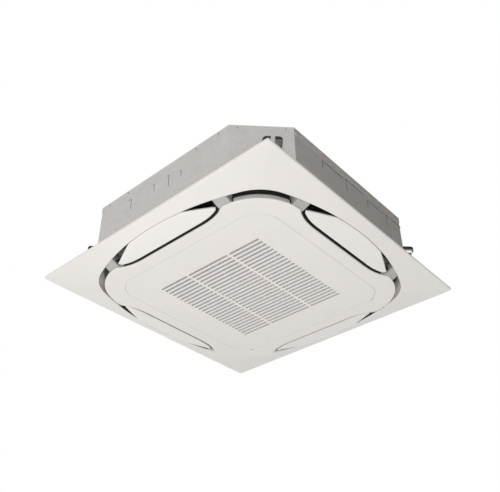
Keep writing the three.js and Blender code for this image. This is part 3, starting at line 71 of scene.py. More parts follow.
PANEL_HALF, PANEL_ROUND, RIM_Z = 475.0, 6.0, -8.0
FACE_Z, BACK_Z = -36.0, -33.0
OUTLET_MID, OUTLET_BOW, OUTLET_TURN = 437.0, 819.8, math.radians(21.5)
OUTLET_Z, OUTLET_TOP = -21.0, -12.0
DUCT_HALF, DUCT_CORNER = 399.7, 477.9
CASE_HALF, CASE_CORNER = 420.0, 499.2
INNER_MID, INNER_HALF, INNER_ROUND = 356.0, 381.0, 159.9
RECESS_FLAT, RECESS_END, RECESS_DEPTH = 110.0, 225.0, 25.0
# the outlet's inner wall leans back by this much up to its top edge
WALL_LEAN, WALL_TOP = 12.0, 13.7
OPENING, OPENING_ROUND, SEAM_CLOSED = 311.5, 77.5, 0.35
LEDGE, LEDGE_UNDER, LEDGE_OVER = 291.5, -20.0, -17.0
GRILLE_HALF, GRILLE_ROUND = 310.0, 76.0
# pieces that stand on the grille's plate start a little inside it
GRILLE_FOOT = -33.2
HINGE = Vector((304.5, 0.0, BACK_Z))
CATCH_Y = 150
FLAP_AXIS, FLAP_AXIS_Z = 388.0, -16.0
FLAP_TIP, FLAP_GAP = 206.0, 9.8
# closed flap's lower face, as (distance out, height) at its two edges
FLAP_INNER, FLAP_OUTER = (367.0, -33.0), (435.5, -22.0)
LID_SCREWS_Z, FOOT_SCREWS_Z, RIVETS_Z = 206, 30, 149
WHEEL_RADIUS, BLADES = 238, 7

CORNERS = ((1, 1), (-1, 1), (-1, -1), (1, -1))

# knock-out slits in the casing as seen: (wall, place along it, top, foot, reach)
KNOCK_OUTS = (
    ("-Y", -153, 181, 151, -44), ("-Y", -30, 188, 134, 74), ("-Y", 88, 176, 143, 185),
    ("-Y", 199, 182, 129, 290), ("-X", -93, 158, 133, -84), ("-X", -39, 172, 126, -28),
    ("-X", 27, 173, 139, 36), ("-X", 135, 173, 133, 150),
)

# pieces that only get round edges, with the radius
PLAIN_PIECES = {
    "drain_pan": 1.6, "control_box": 0.5, "control_box_lid": 0.6, "room_air_sensor": 1.2,
    "pipe_plate": 0.35, "gas_flare_nut": 0.9, "liquid_flare_nut": 0.7, "drain_socket": 0.6,
    "tube_sheet_1": 0.5, "tube_sheet_2": 0.5, "corner_partition": 0.4, "motor_bracket": 0.6,
    "drain_pump": 0.8, "drain_plug": 0.8, "circuit_board": 0.3,
}

# ------------------------------------------------------------ studio, in metres and degrees

# the floor lies as far below the panel as a room's floor does
FLOOR_Z, FLOOR_HALF = -2.7, 9.0
CAMERA_AT = Vector((-1.4474, -1.2601, -1.2429))
CAMERA_AZIMUTH, CAMERA_RISE, CAMERA_ROLL = 48.88, 35.94, -0.49
PHOTO_WIDTH, PHOTO_FOCAL, SENSOR_WIDTH = 500, 693.2, 36
# (name, place, aim, width, power)
LAMPS = (
    ("key", (-1.9, 0.0, -2.2), (-0.3, 0.1, 0), 2.0, 36.0),
    ("fill", (-0.3, -2.0, -2.1), (0, 0, 0), 2.0, 9.0),
)
# matt surfaces get more light from the left than from the right, and more from overhead
WORLD_LEVEL, WORLD_SIDEWAYS = 0.5, (-0.16, 0.02, 0.0)
OVERHEAD = {"From Min": 0.6, "From Max": 1.0, "To Min": 0.0, "To Max": 0.4}
CARD_AT = Vector((0.61, -0.53, 0.587)) * 2.6
CARD_ALONG = Vector((0.53, 0.61, 0.0)).normalized()
CARD_FROM, CARD_TO, CARD_RISE = -1.05, 1.8, 1.3


# ------------------------------------------------------------ plain helpers

def node(tree, kind, links=None, **settings):
    """Adds a node. `settings` are its options; `links` maps inputs to values or output sockets."""
    made = tree.nodes.new(kind)
    for key, value in settings.items():
        setattr(made, key, value)
    for key, value in (links or {}).items():
        socket = made.inputs[key]
        if isinstance(value, bpy.types.NodeSocket):
            tree.links.new(value, socket)
        else:
            socket.default_value = value
    return made


def maths(tree, operation, *values):
    """Result of one maths node."""
    return node(tree, "ShaderNodeMath", dict(enumerate(values)), operation=operation).outputs[0]


def xyz(tree, **parts):
    """Vector put together from its parts."""
    return node(tree, "ShaderNodeCombineXYZ", parts).outputs[0]


def linear(code):
    """An sRGB hex colour as linear red, green, blue and alpha."""
    parts = [int(code[i:i + 2], 16) / 255 for i in (0, 2, 4)]
    parts = [p / 12.92 if p <= 0.04045 else ((p + 0.055) / 1.055) ** 2.4 for p in parts]
    return (*parts, 1.0)


def tones(colour, darker):
    """A darker and the full tone of a colour property, as hex codes."""
    def code(share):
        parts = []
        for value in colour:
            v = value * share
            v = v * 12.92 if v <= 0.0031308 else 1.055 * v ** (1 / 2.4) - 0.055
            parts.append(f"{max(0, min(255, round(v * 255))):02x}")
        return "".join(parts)
    return code(darker), code(1.0)


def link(name, data):
    """Puts a mesh, a lamp or a camera in the scene as an object."""
    obj = bpy.data.objects.new(name, data)
    bpy.context.scene.collection.objects.link(obj)
    return obj


def unlinked(obj):
    """The object's mesh; the object itself goes."""
    mesh = obj.data
    bpy.data.objects.remove(obj)
    return mesh


@contextmanager
def edited(mesh):
    """The mesh opened for editing, and written back at the end."""
    shape = bmesh.new()
    shape.from_mesh(mesh)
    yield shape
    shape.to_mesh(mesh)
    shape.free()


def smooth(mesh, degrees=32.0):
    """Smooth shading, apart from the edges that are sharper than the angle."""
    mesh.polygons.foreach_set("use_smooth", [True] * len(mesh.polygons))
    mesh.set_sharp_from_angle(angle=math.radians(degrees))


def solid(name, verts, faces):
    """A closed mesh object from points in mm, its faces turned outwards."""
    mesh = bpy.data.meshes.new(name)
    mesh.from_pydata([Vector(v) * MM for v in verts], [], faces)
    with edited(mesh) as shape:
        bmesh.ops.remove_doubles(shape, verts=shape.verts, dist=1e-7)
        bmesh.ops.recalc_face_normals(shape, faces=shape.faces)
    smooth(mesh)
    return link(name, mesh)


def settled(obj):
    """Applies the object's modifiers, so that only a plain mesh is left."""
    name = obj.name
    depsgraph = bpy.context.evaluated_depsgraph_get()
    mesh = bpy.data.meshes.new_from_object(obj.evaluated_get(depsgraph), depsgraph=depsgraph)
    obj.modifiers.clear()
    obj.data = mesh
    mesh.name = name
    return obj


def modified(obj, kind, **settings):
    """Adds a modifier with its settings."""
    made = obj.modifiers.new(kind.lower(), kind)
    for key, value in settings.items():
        setattr(made, key, value)


def soften(obj, width, segments=2, degrees=35.0):
    """Rounds the edges as the mould or the folding press would."""
    modified(obj, "BEVEL", width=width * MM, segments=segments, limit_method="ANGLE",
             angle_limit=math.radians(degrees), harden_normals=True, miter_outer="MITER_ARC")
    return settled(obj)


def flattened(obj):
    """Lets the large faces rule the shading, so that flats look flat next to rounded edges."""
    modified(obj, "WEIGHTED_NORMAL", mode="FACE_AREA", weight=50, keep_sharp=True)
    return settled(obj)


def carve(obj, cutters):
    """Cuts the cutters out of the piece and removes them."""
    for cutter in cutters:
        modified(obj, "BOOLEAN", operation="DIFFERENCE", solver="EXACT", object=cutter)
    settled(obj)
    if not obj.data.polygons:
        raise RuntimeError(f"nothing is left of {obj.name}")
    for cutter in cutters:
        bpy.data.objects.remove(cutter)
    return obj


def joined(name, pieces):
    """One object from several, all at the origin."""
    shape = bmesh.new()
    for piece in pieces:
        shape.from_mesh(piece.data)
    mesh = bpy.data.meshes.new(name)
    shape.to_mesh(mesh)
    shape.free()
    for piece in pieces:
        bpy.data.objects.remove(piece)
    smooth(mesh)
    return link(name, mesh)


def paint(obj, material):
    """Gives the object one material."""
    obj.data.materials.clear()
    obj.data.materials.append(material)


def turned_about_z(obj, quarters):
    """Turns the mesh itself, so the object stays unturned."""
    obj.data.transform(Matrix.Rotation(quarters * QUARTER, 4, "Z"))
    return obj


def dress(obj, body, slot, *nodes):
    """Finish, ride and replace: the last step of every piece."""
    flattened(obj)
    paint(obj, MATERIALS[slot])
    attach(obj, body)
    if nodes:
        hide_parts(*nodes)
    return obj


def block(name, xs, ys, zs, edge=0.6, segments=2):
    """Moulded or folded block with rounded edges, between two places along each axis."""
    verts = [(x, y, z) for x in sorted(xs) for y in sorted(ys) for z in sorted(zs)]
    faces = [(0, 1, 3, 2), (4, 6, 7, 5), (0, 4, 5, 1), (2, 3, 7, 6), (0, 2, 6, 4), (1, 5, 7, 3)]
    made = solid(name, verts, faces)
    return soften(made, edge, segments) if edge else made


def round_faces(steps, n, rows):
    """Faces between the `n` points of each of the `steps` sections of a full turn."""
    faces = []
    for i in range(steps):
        j = (i + 1) % steps
        for k in range(rows):
            m = (k + 1) % n
            faces.append((i * n + k, j * n + k, j * n + m, i * n + m))
    return faces


def lathe(name, profile, centre=(0, 0, 0), axis="Z", steps=64, closed=False):
    """Turned piece about Z or Y: profile points are (radius, height) along the axis."""
    turns = [2 * math.pi * i / steps for i in range(steps)]
    verts = [(r * math.cos(a), r * math.sin(a), h) for a in turns for r, h in profile]
    turn = Matrix() if axis == "Z" else Matrix.Rotation(-QUARTER, 4, "X")
    place = Matrix.Translation(Vector(centre)) @ turn
    n = len(profile)
    faces = round_faces(steps, n, n if closed else n - 1)
    return solid(name, [place @ Vector(v) for v in verts], faces)


def softened(name, source, edge, segments=2, degrees=35.0):
    """A merged copy of a CAD node with its edges rounded."""
    mesh = frame["nodes"][source].data.copy()
    mesh.name = name
    with edited(mesh) as shape:
        bmesh.ops.remove_doubles(shape, verts=shape.verts, dist=2e-6)
        bmesh.ops.dissolve_limit(shape, angle_limit=math.radians(0.5), verts=shape.verts,
                                 edges=shape.edges, delimit=set())
    smooth(mesh)
    return soften(link(name, mesh), edge, segments, degrees)


def facing(x, y):
    """Outward direction of a wall that faces (x, y), and the direction along it."""
    n = Vector((x, y, 0)).normalized()
    return n, Vector((-n.y, n.x, 0))


# ------------------------------------------------------------ plan outlines
# Each gives the distance from the middle at an angle, the same on all four sides.

def angles():
    """Directions of a full turn, closer together at the diagonals."""
    eighth = [0.75 * i for i in range(59)] + [44.45, 44.6, 44.72, 44.82, 44.92]
    quarter = eighth + [45.0] + [90.0 - a for a in reversed(eighth[1:])]
    return [math.radians(a + turn) for turn in (0, 90, 180, 270) for a in quarter]


ANGLES = angles()


def fold(angle):
    """Cosine and sine of the direction, folded into the first eighth of the turn."""
    c, s = abs(math.cos(angle)), abs(math.sin(angle))
    return max(c, s), min(c, s)


def round_square(half, radius):
    """Square with round corners."""
    def reach(angle):
        c, s = fold(angle)
        k = half - radius
        if half * s <= k * c:
            return half / c
        return k * (c + s) + math.sqrt(radius ** 2 - (k * (c - s)) ** 2)
    return reach


def cut_square(half, corner):
    """Square with its corners cut off."""
    def reach(angle):
        c, s = fold(angle)
        return min(half / c, corner * math.sqrt(2) / (c + s))
    return reach


def bowed_square(inset):
    """Outer edge of the air outlet: bowed sides and round corners."""
    bow, mid = OUTLET_BOW - inset, OUTLET_MID - inset
    x = mid - bow * (1 - math.cos(OUTLET_TURN))
    y = bow * math.sin(OUTLET_TURN)
    r = (x - y) / (math.cos(OUTLET_TURN) - math.sin(OUTLET_TURN))
    k = x - r * math.cos(OUTLET_TURN)

    def reach(angle):
        c, s = fold(angle)
        if s * x <= c * y:
            m = mid - bow
            return m * c + math.sqrt(bow ** 2 - (m * s) ** 2)
        return k * (c + s) + math.sqrt(r ** 2 - (k * (c - s)) ** 2)
    return reach


def recess_edge(y, inset):
    """Distance of the inner frame's side from the middle, which grows towards the corners."""
    t = (abs(y) - RECESS_FLAT) / (RECESS_END - RECESS_FLAT)
    return INNER_MID + RECESS_DEPTH * max(0.0, min(1.0, t)) ** 3 - inset


def inner_edge(inset):
    """Outer edge of the inner frame."""
    square = round_square(INNER_HALF - inset, INNER_ROUND - inset)

    def reach(angle):
        c, s = fold(angle)
        full = out = square(angle)
        # the recess depends on the place where it is met, so it is closed in on
        for _ in range(12):
            out = min(full, recess_edge(out * s, inset) / c)
        return out
    return reach


def panel_edge(inset):
    """Outer edge of the panel, whose corners stay a little round."""
    return round_square(PANEL_HALF - inset, PANEL_ROUND - min(inset, 5.0))


def grille_edge(inset):
    """Outer edge of the grille."""
    return round_square(GRILLE_HALF - inset, GRILLE_ROUND - inset)


def case_edge(inset):
    """Outside of the casing."""
    return cut_square(CASE_HALF - inset, CASE_CORNER - inset)


def duct_edge(inset):
    """Outer wall of the air's way down to the outlet."""
    return cut_square(DUCT_HALF - inset, DUCT_CORNER - inset)


def circle(radius):
    return lambda angle: radius


def point(outline, angle, z):
    """Point of an outline at an angle and a height."""
    r = outline(angle)
    return r * math.cos(angle), r * math.sin(angle), z


def ring(name, section):
    """Ring from a closed cross-section of (outline, height)."""
    verts = [point(outline, angle, z) for angle in ANGLES for outline, z in section]
    return solid(name, verts, round_faces(len(ANGLES), len(section), len(section)))


def fillet(near, far, z0, z1, steps=4):
    """Quarter-round from a side wall to a face, as (inset, height)."""
    turns = [QUARTER * i / steps for i in range(steps + 1)]
    return [(near + (far - near) * (1 - math.cos(a)), z0 + (z1 - z0) * math.sin(a)) for a in turns]


def plate(name, loops):
    """Closed plate from stacked loops of 3D points, capped at both ends."""
    n = len(loops[0])
    verts = [v for level in loops for v in level]
    faces = [tuple(range(n)), tuple(range((len(loops) - 1) * n, len(loops) * n))]
    for k in range(len(loops) - 1):
        for i in range(n):
            j = (i + 1) % n
            faces.append((k * n + i, k * n + j, (k + 1) * n + j, (k + 1) * n + i))
    made = solid(name, verts, faces)
    with edited(made.data) as shape:
        caps = [f for f in shape.faces if len(f.verts) > 4]
        bmesh.ops.triangulate(shape, faces=caps, quad_method="BEAUTY", ngon_method="BEAUTY")
    return made


def ring_part(name, section, start, end):
    """Stretch of a ring between two directions in degrees, closed at its ends."""
    full = [math.degrees(a) - back for back in (360, 0) for a in ANGLES]
    turns = [start, *[turn for turn in full if start < turn < end], end]
    return plate(name, [[point(outline, math.radians(turn), z) for outline, z in section]
                        for turn in turns])


def inset_points(points, d):
    """The outline moved inwards by d; points run anticlockwise."""
    out, n = [], len(points)
    for i, p in enumerate(points):
        a, b = Vector(points[i - 1]), Vector(points[(i + 1) % n])
        before, after = (Vector(p) - a).normalized(), (b - Vector(p)).normalized()
        along = (before + after).normalized()
        normal = Vector((-along.y, along.x))
        stretch = 1 / max(0.5, normal.dot(Vector((-before.y, before.x))))
        out.append(tuple(Vector(p) + normal * d * stretch))
    return out


# ------------------------------------------------------------ repeating details, as node trees

def new_tree(name, *sockets):
    """Geometry tree with a geometry input, the named inputs, a material and a geometry output."""
    tree = bpy.data.node_groups.new(name, "GeometryNodeTree")
    for label, kind, default in (("Geometry", "Geometry", None), *sockets, ("Material", "Material", None)):
        made = tree.interface.new_socket(name=label, in_out="INPUT", socket_type=f"NodeSocket{kind}")
        if default is not None:
            made.default_value = default
    tree.interface.new_socket(name="Geometry", in_out="OUTPUT", socket_type="NodeSocketGeometry")
    return tree, node(tree, "NodeGroupInput").outputs


def close_tree(tree, given, geometry):
    """Ends a tree: instances made real, material set."""
    real = node(tree, "GeometryNodeRealizeInstances", {"Geometry": geometry})
    done = node(tree, "GeometryNodeSetMaterial", {
        "Geometry": real.outputs[0], "Material": given["Material"]})
    node(tree, "NodeGroupOutput", {"Geometry": done.outputs[0]})
    return tree


def row_of(tree, given, count, instance, y=0.0):
    """The instance repeated along X at the tree's pitch, the middle of the row at X = 0."""
    span = maths(tree, "MULTIPLY", maths(tree, "SUBTRACT", given[count], 1.0), given["Pitch"])
    line = node(tree, "GeometryNodeMeshLine", {
        "Count": given[count], "Offset": xyz(tree, X=given["Pitch"]),
        "Start Location": xyz(tree, X=maths(tree, "MULTIPLY", span, -0.5), Y=y)})
    return node(tree, "GeometryNodeInstanceOnPoints", {
        "Points": line.outputs[0], "Instance": instance}).outputs[0]


def merged(tree, *pieces):
    """The geometry of several nodes as one."""
    made = node(tree, "GeometryNodeJoinGeometry")
    for piece in pieces:
        tree.links.new(piece.outputs[0], made.inputs[0])
    return made.outputs[0]


def bars_tree():
    """Row of straight bars along Y, a pitch apart along X: slats, threads and ribs."""
    tree, given = new_tree(
        "Row of bars", ("Count", "Int", 4), ("Pitch", "Float", 0.01), ("Width", "Float", 0.004),
        ("Length", "Float", 0.1), ("Height", "Float", 0.005), ("Middle", "Vector", (0, 0, 0)),
        ("Turn", "Float", 0.0))
    size = xyz(tree, X=given["Width"], Y=given["Length"], Z=given["Height"])
    bar = node(tree, "GeometryNodeMeshCube", {"Size": size})
    placed = node(tree, "GeometryNodeTransform", {
        "Geometry": row_of(tree, given, "Count", bar.outputs["Mesh"]),
        "Translation": given["Middle"], "Rotation": xyz(tree, Z=given["Turn"])})
    return close_tree(tree, given, placed.outputs[0])


def heads_tree():
    """A head set on every point of the base mesh, facing along the point's `facing` vector."""
    tree, given = new_tree("Heads on points", ("Head", "Object", None), ("Seed", "Int", 3))
    head = node(tree, "GeometryNodeObjectInfo", {"Object": given["Head"]})
    outward = node(tree, "GeometryNodeInputNamedAttribute", {"Name": "facing"},
                   data_type="FLOAT_VECTOR")
    spin = node(tree, "FunctionNodeRandomValue", {2: 0.0, 3: 6.28, "Seed": given["Seed"]},
                data_type="FLOAT")
    aim = node(tree, "FunctionNodeAlignRotationToVector", {"Vector": outward.outputs[0]}, axis="Z")
    both = node(tree, "FunctionNodeRotateRotation", {
        "Rotation": aim.outputs[0], "Rotate By": xyz(tree, Z=spin.outputs[1])},
        rotation_space="LOCAL")
    row = node(tree, "GeometryNodeInstanceOnPoints", {
        "Points": given["Geometry"], "Instance": head.outputs["Geometry"],
        "Rotation": both.outputs[0]})
    return close_tree(tree, given, row.outputs[0])


def wheel_tree():
    """The base mesh repeated round the Z axis."""
    tree, given = new_tree("Repeated round the axis", ("Count", "Int", 7))
    line = node(tree, "GeometryNodeMeshLine", {"Count": given["Count"], "Offset": (0, 0, 0)})
    index = node(tree, "GeometryNodeInputIndex")
    part = maths(tree, "DIVIDE", index.outputs[0], given["Count"])
    row = node(tree, "GeometryNodeInstanceOnPoints", {
        "Points": line.outputs[0], "Instance": given["Geometry"],
        "Rotation": xyz(tree, Z=maths(tree, "MULTIPLY", part, 2 * math.pi))})
    return close_tree(tree, given, row.outputs[0])


def slotted_tree():
    """Plate with three rows of slots, from an outline drawn as a loop of edges."""
    tree, given = new_tree(
        "Slotted plate", ("Slots", "Int", 25), ("Pitch", "Float", 0.0168),
        ("Width", "Float", 0.0085), ("End Radius", "Float", 0.0015), ("Row End", "Float", 0.207),
        ("Rib At", "Float", 0.087), ("Rib", "Float", 0.008), ("Thickness", "Float", 0.003),
        ("Level", "Float", FACE_Z * MM))
    half_rib = maths(tree, "MULTIPLY", given["Rib"], 0.5)
    inner = maths(tree, "SUBTRACT", given["Rib At"], half_rib)
    outer = maths(tree, "ADD", given["Rib At"], half_rib)
    long_mid = maths(tree, "MULTIPLY", inner, 2.0)
    long_end = maths(tree, "SUBTRACT", given["Row End"], outer)
    middle_end = maths(tree, "MULTIPLY", maths(tree, "ADD", given["Row End"], outer), 0.5)
    back_end = maths(tree, "MULTIPLY", middle_end, -1.0)
    rows = []
    for long, at in ((long_mid, 0.0), (long_end, middle_end), (long_end, back_end)):
        slot = node(tree, "GeometryNodeCurvePrimitiveQuadrilateral", {
            "Width": given["Width"], "Height": long})
        rounded = node(tree, "GeometryNodeFilletCurve", {
            "Curve": slot.outputs[0], "Count": 3, "Radius": given["End Radius"]}, mode="POLY")
        row = row_of(tree, given, "Slots", rounded.outputs[0], at)
        rows.append(node(tree, "GeometryNodeRealizeInstances", {"Geometry": row}))
    edge = node(tree, "GeometryNodeMeshToCurve", {"Mesh": given["Geometry"]})
    face = node(tree, "GeometryNodeFillCurve", {"Curve": merged(tree, edge, *rows)}, mode="TRIANGLES")
    raised = node(tree, "GeometryNodeExtrudeMesh", {
        "Mesh": face.outputs[0], "Offset": xyz(tree, Z=given["Thickness"]), "Offset Scale": 1.0,
        "Individual": False})
    under = node(tree, "GeometryNodeFlipFaces", {"Mesh": face.outputs[0]})
    welded = node(tree, "GeometryNodeMergeByDistance", {
        "Geometry": merged(tree, raised, under), "Distance": 1e-6})
    placed = node(tree, "GeometryNodeTransform", {
        "Geometry": welded.outputs[0], "Translation": xyz(tree, Z=given["Level"])})
    return close_tree(tree, given, placed.outputs[0])


TREES = {}


def tree_of(kind):
    """The tree of a kind, made when it is first asked for."""
    makers = {"bars": bars_tree, "heads": heads_tree, "wheel": wheel_tree, "slotted": slotted_tree}
    if kind not in TREES:
        TREES[kind] = makers[kind]()
    return TREES[kind]


def grown(name, kind, slot, base=None, **inputs):
    """Runs a tree on a base mesh and returns the result as a plain mesh object."""
    obj = link(name, base or bpy.data.meshes.new(name))
    made = obj.modifiers.new("tree", "NODES")
    made.node_group = tree_of(kind)
    inputs["Material"] = MATERIALS[slot]
    for item in made.node_group.interface.items_tree:
        key = item.name.replace(" ", "_")
        if item.in_out == "INPUT" and key in inputs:
            made[item.identifier] = inputs[key]
    settled(obj)
    if not obj.data.polygons:
        raise RuntimeError(f"{name} came out empty")
    smooth(obj.data)
    return obj


def points_mesh(name, places):
    """Loose points with a facing vector each, from (point in mm, direction) pairs."""
    mesh = bpy.data.meshes.new(name)
    mesh.from_pydata([Vector(p) * MM for p, _ in places], [], [])
    outward = mesh.attributes.new("facing", "FLOAT_VECTOR", "POINT")
    for item, (_, d) in zip(outward.data, places):
        item.vector = Vector(d).normalized()
    return mesh


def turned_head(radius, height, shares):
    """Round head from shares of its radius and height, its foot sunk a little into the sheet."""
    foot, rim = -0.3, radius * shares[-1][0]
    profile = [(radius * r, height * h) for r, h in shares] + [(rim, foot), (0, foot)]
    return lathe("head", profile, steps=16)


def pan_head(radius, height):
    """Screw head with a washer face and a cross recess."""
    head = turned_head(radius, height, [(0, 1), (0.55, 0.93), (0.9, 0.55), (1, 0.2), (1.18, 0.14)])
    long, wide, depths = radius * 0.6, radius * 0.13, (height * 0.45, height + 1)
    arms = [turned_about_z(block("arm", (-long, long), (-wide, wide), depths, 0), quarters)
            for quarters in (0, 1)]
    return carve(head, arms)


def rivet_head(radius, height):
    """Blind rivet: low dome with its mandrel hole."""
    return turned_head(radius, height, [(0, 0.45), (0.3, 0.45), (0.34, 1), (0.7, 0.85), (1, 0.2)])


def heads_on(name, places, head, seed):
    """Screws or rivets at the places, as one mesh."""
    made = grown(name, "heads", "zinc_steel", points_mesh(name, places), Head=head, Seed=seed)
    bpy.data.objects.remove(head)
    return made


# ------------------------------------------------------------ materials

def coords(tree, scale=(1.0, 1.0, 1.0)):
    """Object coordinates, stretched for a pattern."""
    where = node(tree, "ShaderNodeTexCoord")
    return node(tree, "ShaderNodeMapping", {
        "Vector": where.outputs["Object"], "Scale": scale}).outputs[0]


def two_tones(tree, pattern, dark, light, low=0.3, high=0.7):
    """Colour ramp between two hex colours."""
    ramp = node(tree, "ShaderNodeValToRGB", {"Fac": pattern})
    for stop, place, code in zip(ramp.color_ramp.elements, (low, high), (dark, light)):
        stop.position = place
        stop.color = linear(code)
    return ramp.outputs["Color"]


def between(tree, pattern, low, high):
    """The pattern's 0 to 1 mapped between two numbers."""
    return node(tree, "ShaderNodeMapRange", {
        "Value": pattern, "To Min": low, "To Max": high}).outputs[0]


def bump(tree, height, depth_mm, strength=0.5):
    """Normal from a height pattern."""
    return node(tree, "ShaderNodeBump", {
        "Height": height, "Distance": depth_mm * MM, "Strength": strength}).outputs[0]


def noise(tree, size_mm, detail=2.0, where=None):
    """Noise pattern with spots of about this size."""
    return node(tree, "ShaderNodeTexNoise", {
        "Vector": where or coords(tree), "Scale": 1000.0 / size_mm, "Detail": detail}).outputs["Fac"]


def surface(name, **sockets):
    """Material with one principled surface; the sockets take numbers or colours."""
    material = bpy.data.materials.new(name)
    material.use_nodes = True
    tree = material.node_tree
    tree.nodes.clear()
    shader = node(tree, "ShaderNodeBsdfPrincipled", {
        key.replace("_", " "): value for key, value in sockets.items()})
    node(tree, "ShaderNodeOutputMaterial", {"Surface": shader.outputs[0]})
    return material, tree, shader


def set_in(tree, shader, **links):
    """Links patterns to the shader's sockets."""
    for key, value in links.items():
        tree.links.new(value, shader.inputs[key.replace("_", " ")])


def moulded_plastic(name, dark, light, roughness, grain_mm=1.1, grain_depth=0.02, ior=1.53):
    """Injection-moulded plastic: even colour with a faint cloudiness, and the mould's fine grain."""
    material, tree, shader = surface(name, Roughness=roughness, IOR=ior)
    cloud = noise(tree, 90.0)
    # real grain is 0.2 to 0.4 mm wide; drawn at about 1 mm so that it shows at this distance
    grain = noise(tree, grain_mm, 3.0)
    set_in(tree, shader, Base_Color=two_tones(tree, cloud, dark, light),
           Normal=bump(tree, grain, grain_depth, 0.35))
    return material


def galvanised_steel(name, dark, light):
    """Hot-dip galvanised sheet: zinc crystals with slightly different greys, under a dull patina."""
    material, tree, shader = surface(name, Metallic=0.78, Roughness=0.42)
    where = coords(tree)
    wobble = node(tree, "ShaderNodeTexNoise", {"Vector": where, "Scale": 130.0, "Detail": 2.0})
    bent = node(tree, "ShaderNodeMix", {0: 0.012, 4: where, 5: wobble.outputs["Color"]},
                data_type="VECTOR")
    # crystals of about 8 mm
    flakes = node(tree, "ShaderNodeTexVoronoi", {"Vector": bent.outputs[1], "Scale": 125.0})
    part = node(tree, "ShaderNodeSeparateColor", {"Color": flakes.outputs["Color"]})
    rolled = noise(tree, 60.0, 3.0)
    mixed = node(tree, "ShaderNodeMix", {0: 0.35, 2: rolled, 3: part.outputs[0]}, data_type="FLOAT")
    set_in(tree, shader,
           Base_Color=two_tones(tree, mixed.outputs[0], dark, light, 0.2, 0.8),
           Roughness=between(tree, part.outputs[1], 0.38, 0.48))
    return material


def brushed_metal(name, dark, light, roughness, stretch, grain_mm=0.8):
    """Drawn or plated metal: fine lines along one direction with slight tarnish."""
    material, tree, shader = surface(name, Metallic=1.0, Roughness=roughness)
    lines = noise(tree, grain_mm, 3.0, coords(tree, stretch))
    tarnish = noise(tree, 14.0, 3.0)
    set_in(tree, shader, Base_Color=two_tones(tree, tarnish, dark, light),
           Roughness=between(tree, lines, roughness - 0.08, roughness + 0.1),
           Normal=bump(tree, lines, 0.01, 0.2))
    return material


def fin_pack(name):
    """Aluminium fins pressed 1.6 mm apart, seen on edge, with painted shade in the gaps between them."""
    material, tree, shader = surface(name, Metallic=0.9, Roughness=0.4)
    where = node(tree, "ShaderNodeSeparateXYZ", {"Vector": coords(tree)})
    along = maths(tree, "ADD", where.outputs[0], where.outputs[1])
    # drawn 3.2 mm apart so that the fins show
    phase = maths(tree, "MULTIPLY", along, 2 * math.pi / (3.2 * MM))
    level = between(tree, maths(tree, "SINE", phase), 0.2, 1.0)
    # the dark tone between the fins is painted shade in their gaps
    set_in(tree, shader, Base_Color=two_tones(tree, level, "4d5154", "c9cdd1", 0.1, 0.6),
           Normal=bump(tree, level, 0.3))
    return material


def bead_foam(name, dark, light, bead_mm, depth=0.12):
    """Expanded foam: packed beads or cells with shallow joints between them, quite matt."""
    material, tree, shader = surface(name, Roughness=0.88, IOR=1.45, Sheen_Weight=0.12)
    beads = node(tree, "ShaderNodeTexVoronoi", {
        "Vector": coords(tree), "Scale": 1000.0 / bead_mm}, feature="DISTANCE_TO_EDGE")
    edge = between(tree, beads.outputs["Distance"], 0.0, 1.0)
    set_in(tree, shader, Base_Color=two_tones(tree, edge, dark, light, 0.0, 0.12),
           Normal=bump(tree, edge, depth))
    return material


def circuit_laminate(name):
    """Glass-epoxy board under green solder mask, with copper tracks showing lighter."""
    material, tree, shader = surface(name, Roughness=0.4, IOR=1.5, Coat_Weight=0.3)
    tracks = node(tree, "ShaderNodeTexBrick", {
        "Vector": coords(tree), "Color1": linear("2c6a3f"), "Color2": linear("276138"),
        "Mortar": linear("4f9158"), "Scale": 90.0, "Mortar Size": 0.04})
    set_in(tree, shader, Base_Color=tracks.outputs["Color"],
           Normal=bump(tree, tracks.outputs["Fac"], 0.04, 0.3))
    return material


MATERIALS = {}


def make_materials(colours):
    """All finishes by their record slot."""
    plastic, metal, foam = moulded_plastic, brushed_metal, bead_foam
    MATERIALS.update({
        # resin-rich ABS skin: bright, satin, the grain only just breaks the gloss
        "panel_plastic": plastic("ABS warm white, fine grain", *tones(colours.panel, 0.985), 0.42),
        # flaps are moulded smoother, so their highlights are a little tighter
        "flap_plastic": plastic("ABS warm white, smooth", *tones(colours.flap, 0.985), 0.36, 1.4,
                                0.012),
        # unpainted grey ABS, moulded in a coarser tool
        "support_plastic": plastic("ABS light grey, moulded", *tones(colours.support, 0.96), 0.5, 1.3,
                                   0.03),
        "natural_plastic": plastic("ABS natural, moulded", "c9c9c2", "d8d8d2", 0.48),
        "black_plastic": plastic("Polypropylene black, moulded", "1c1e20", "2a2d30", 0.5, 1.6, 0.04,
                                 1.49),
        "galvanised_steel": galvanised_steel("Galvanised steel sheet, spangled",
                                             *tones(colours.steel, 0.9)),
        "zinc_steel": metal("Steel, bright zinc plated", "a9abac", "c6c8c9", 0.2, (1, 1, 6)),
        "copper": metal("Copper tube, drawn", "a05c3a", "c98058", 0.3, (0.1, 1, 1)),
        "brass": metal("Brass, turned", "b48f45", "d9bb72", 0.26, (6, 1, 1)),
        "motor_housing": metal("Aluminium, die cast", "9b9ea0", "bfc2c4", 0.45, (1, 1, 1), 2.5),
        "fins": fin_pack("Aluminium fins on edge"),
        "foam": foam("Polyethylene foam, closed cell", "cfcec7", "e8e7e1", 2.4),
        "pan_foam": foam("Expanded polystyrene, skinned", "cfcfc9", "e2e2dd", 4.2, 0.2),
        # also the black of the strips that paint the shade in the outlet's deep gaps
        "seal_foam": foam("EPDM foam strip", "0e0e0d", "1a1918", 1.5),
        "filter_net": plastic("Polypropylene net, grey", "4a5056", "646a71", 0.6, 1.0, 0.05, 1.49),
        # also the black of the painted shade behind the casing's slits and on the brackets' flanges
        "rubber": plastic("EPDM rubber, moulded", "151515", "222222", 0.7, 1.8, 0.05, 1.5),
        "board": circuit_laminate("Circuit board, green mask"),
    })


# ------------------------------------------------------------ the panel

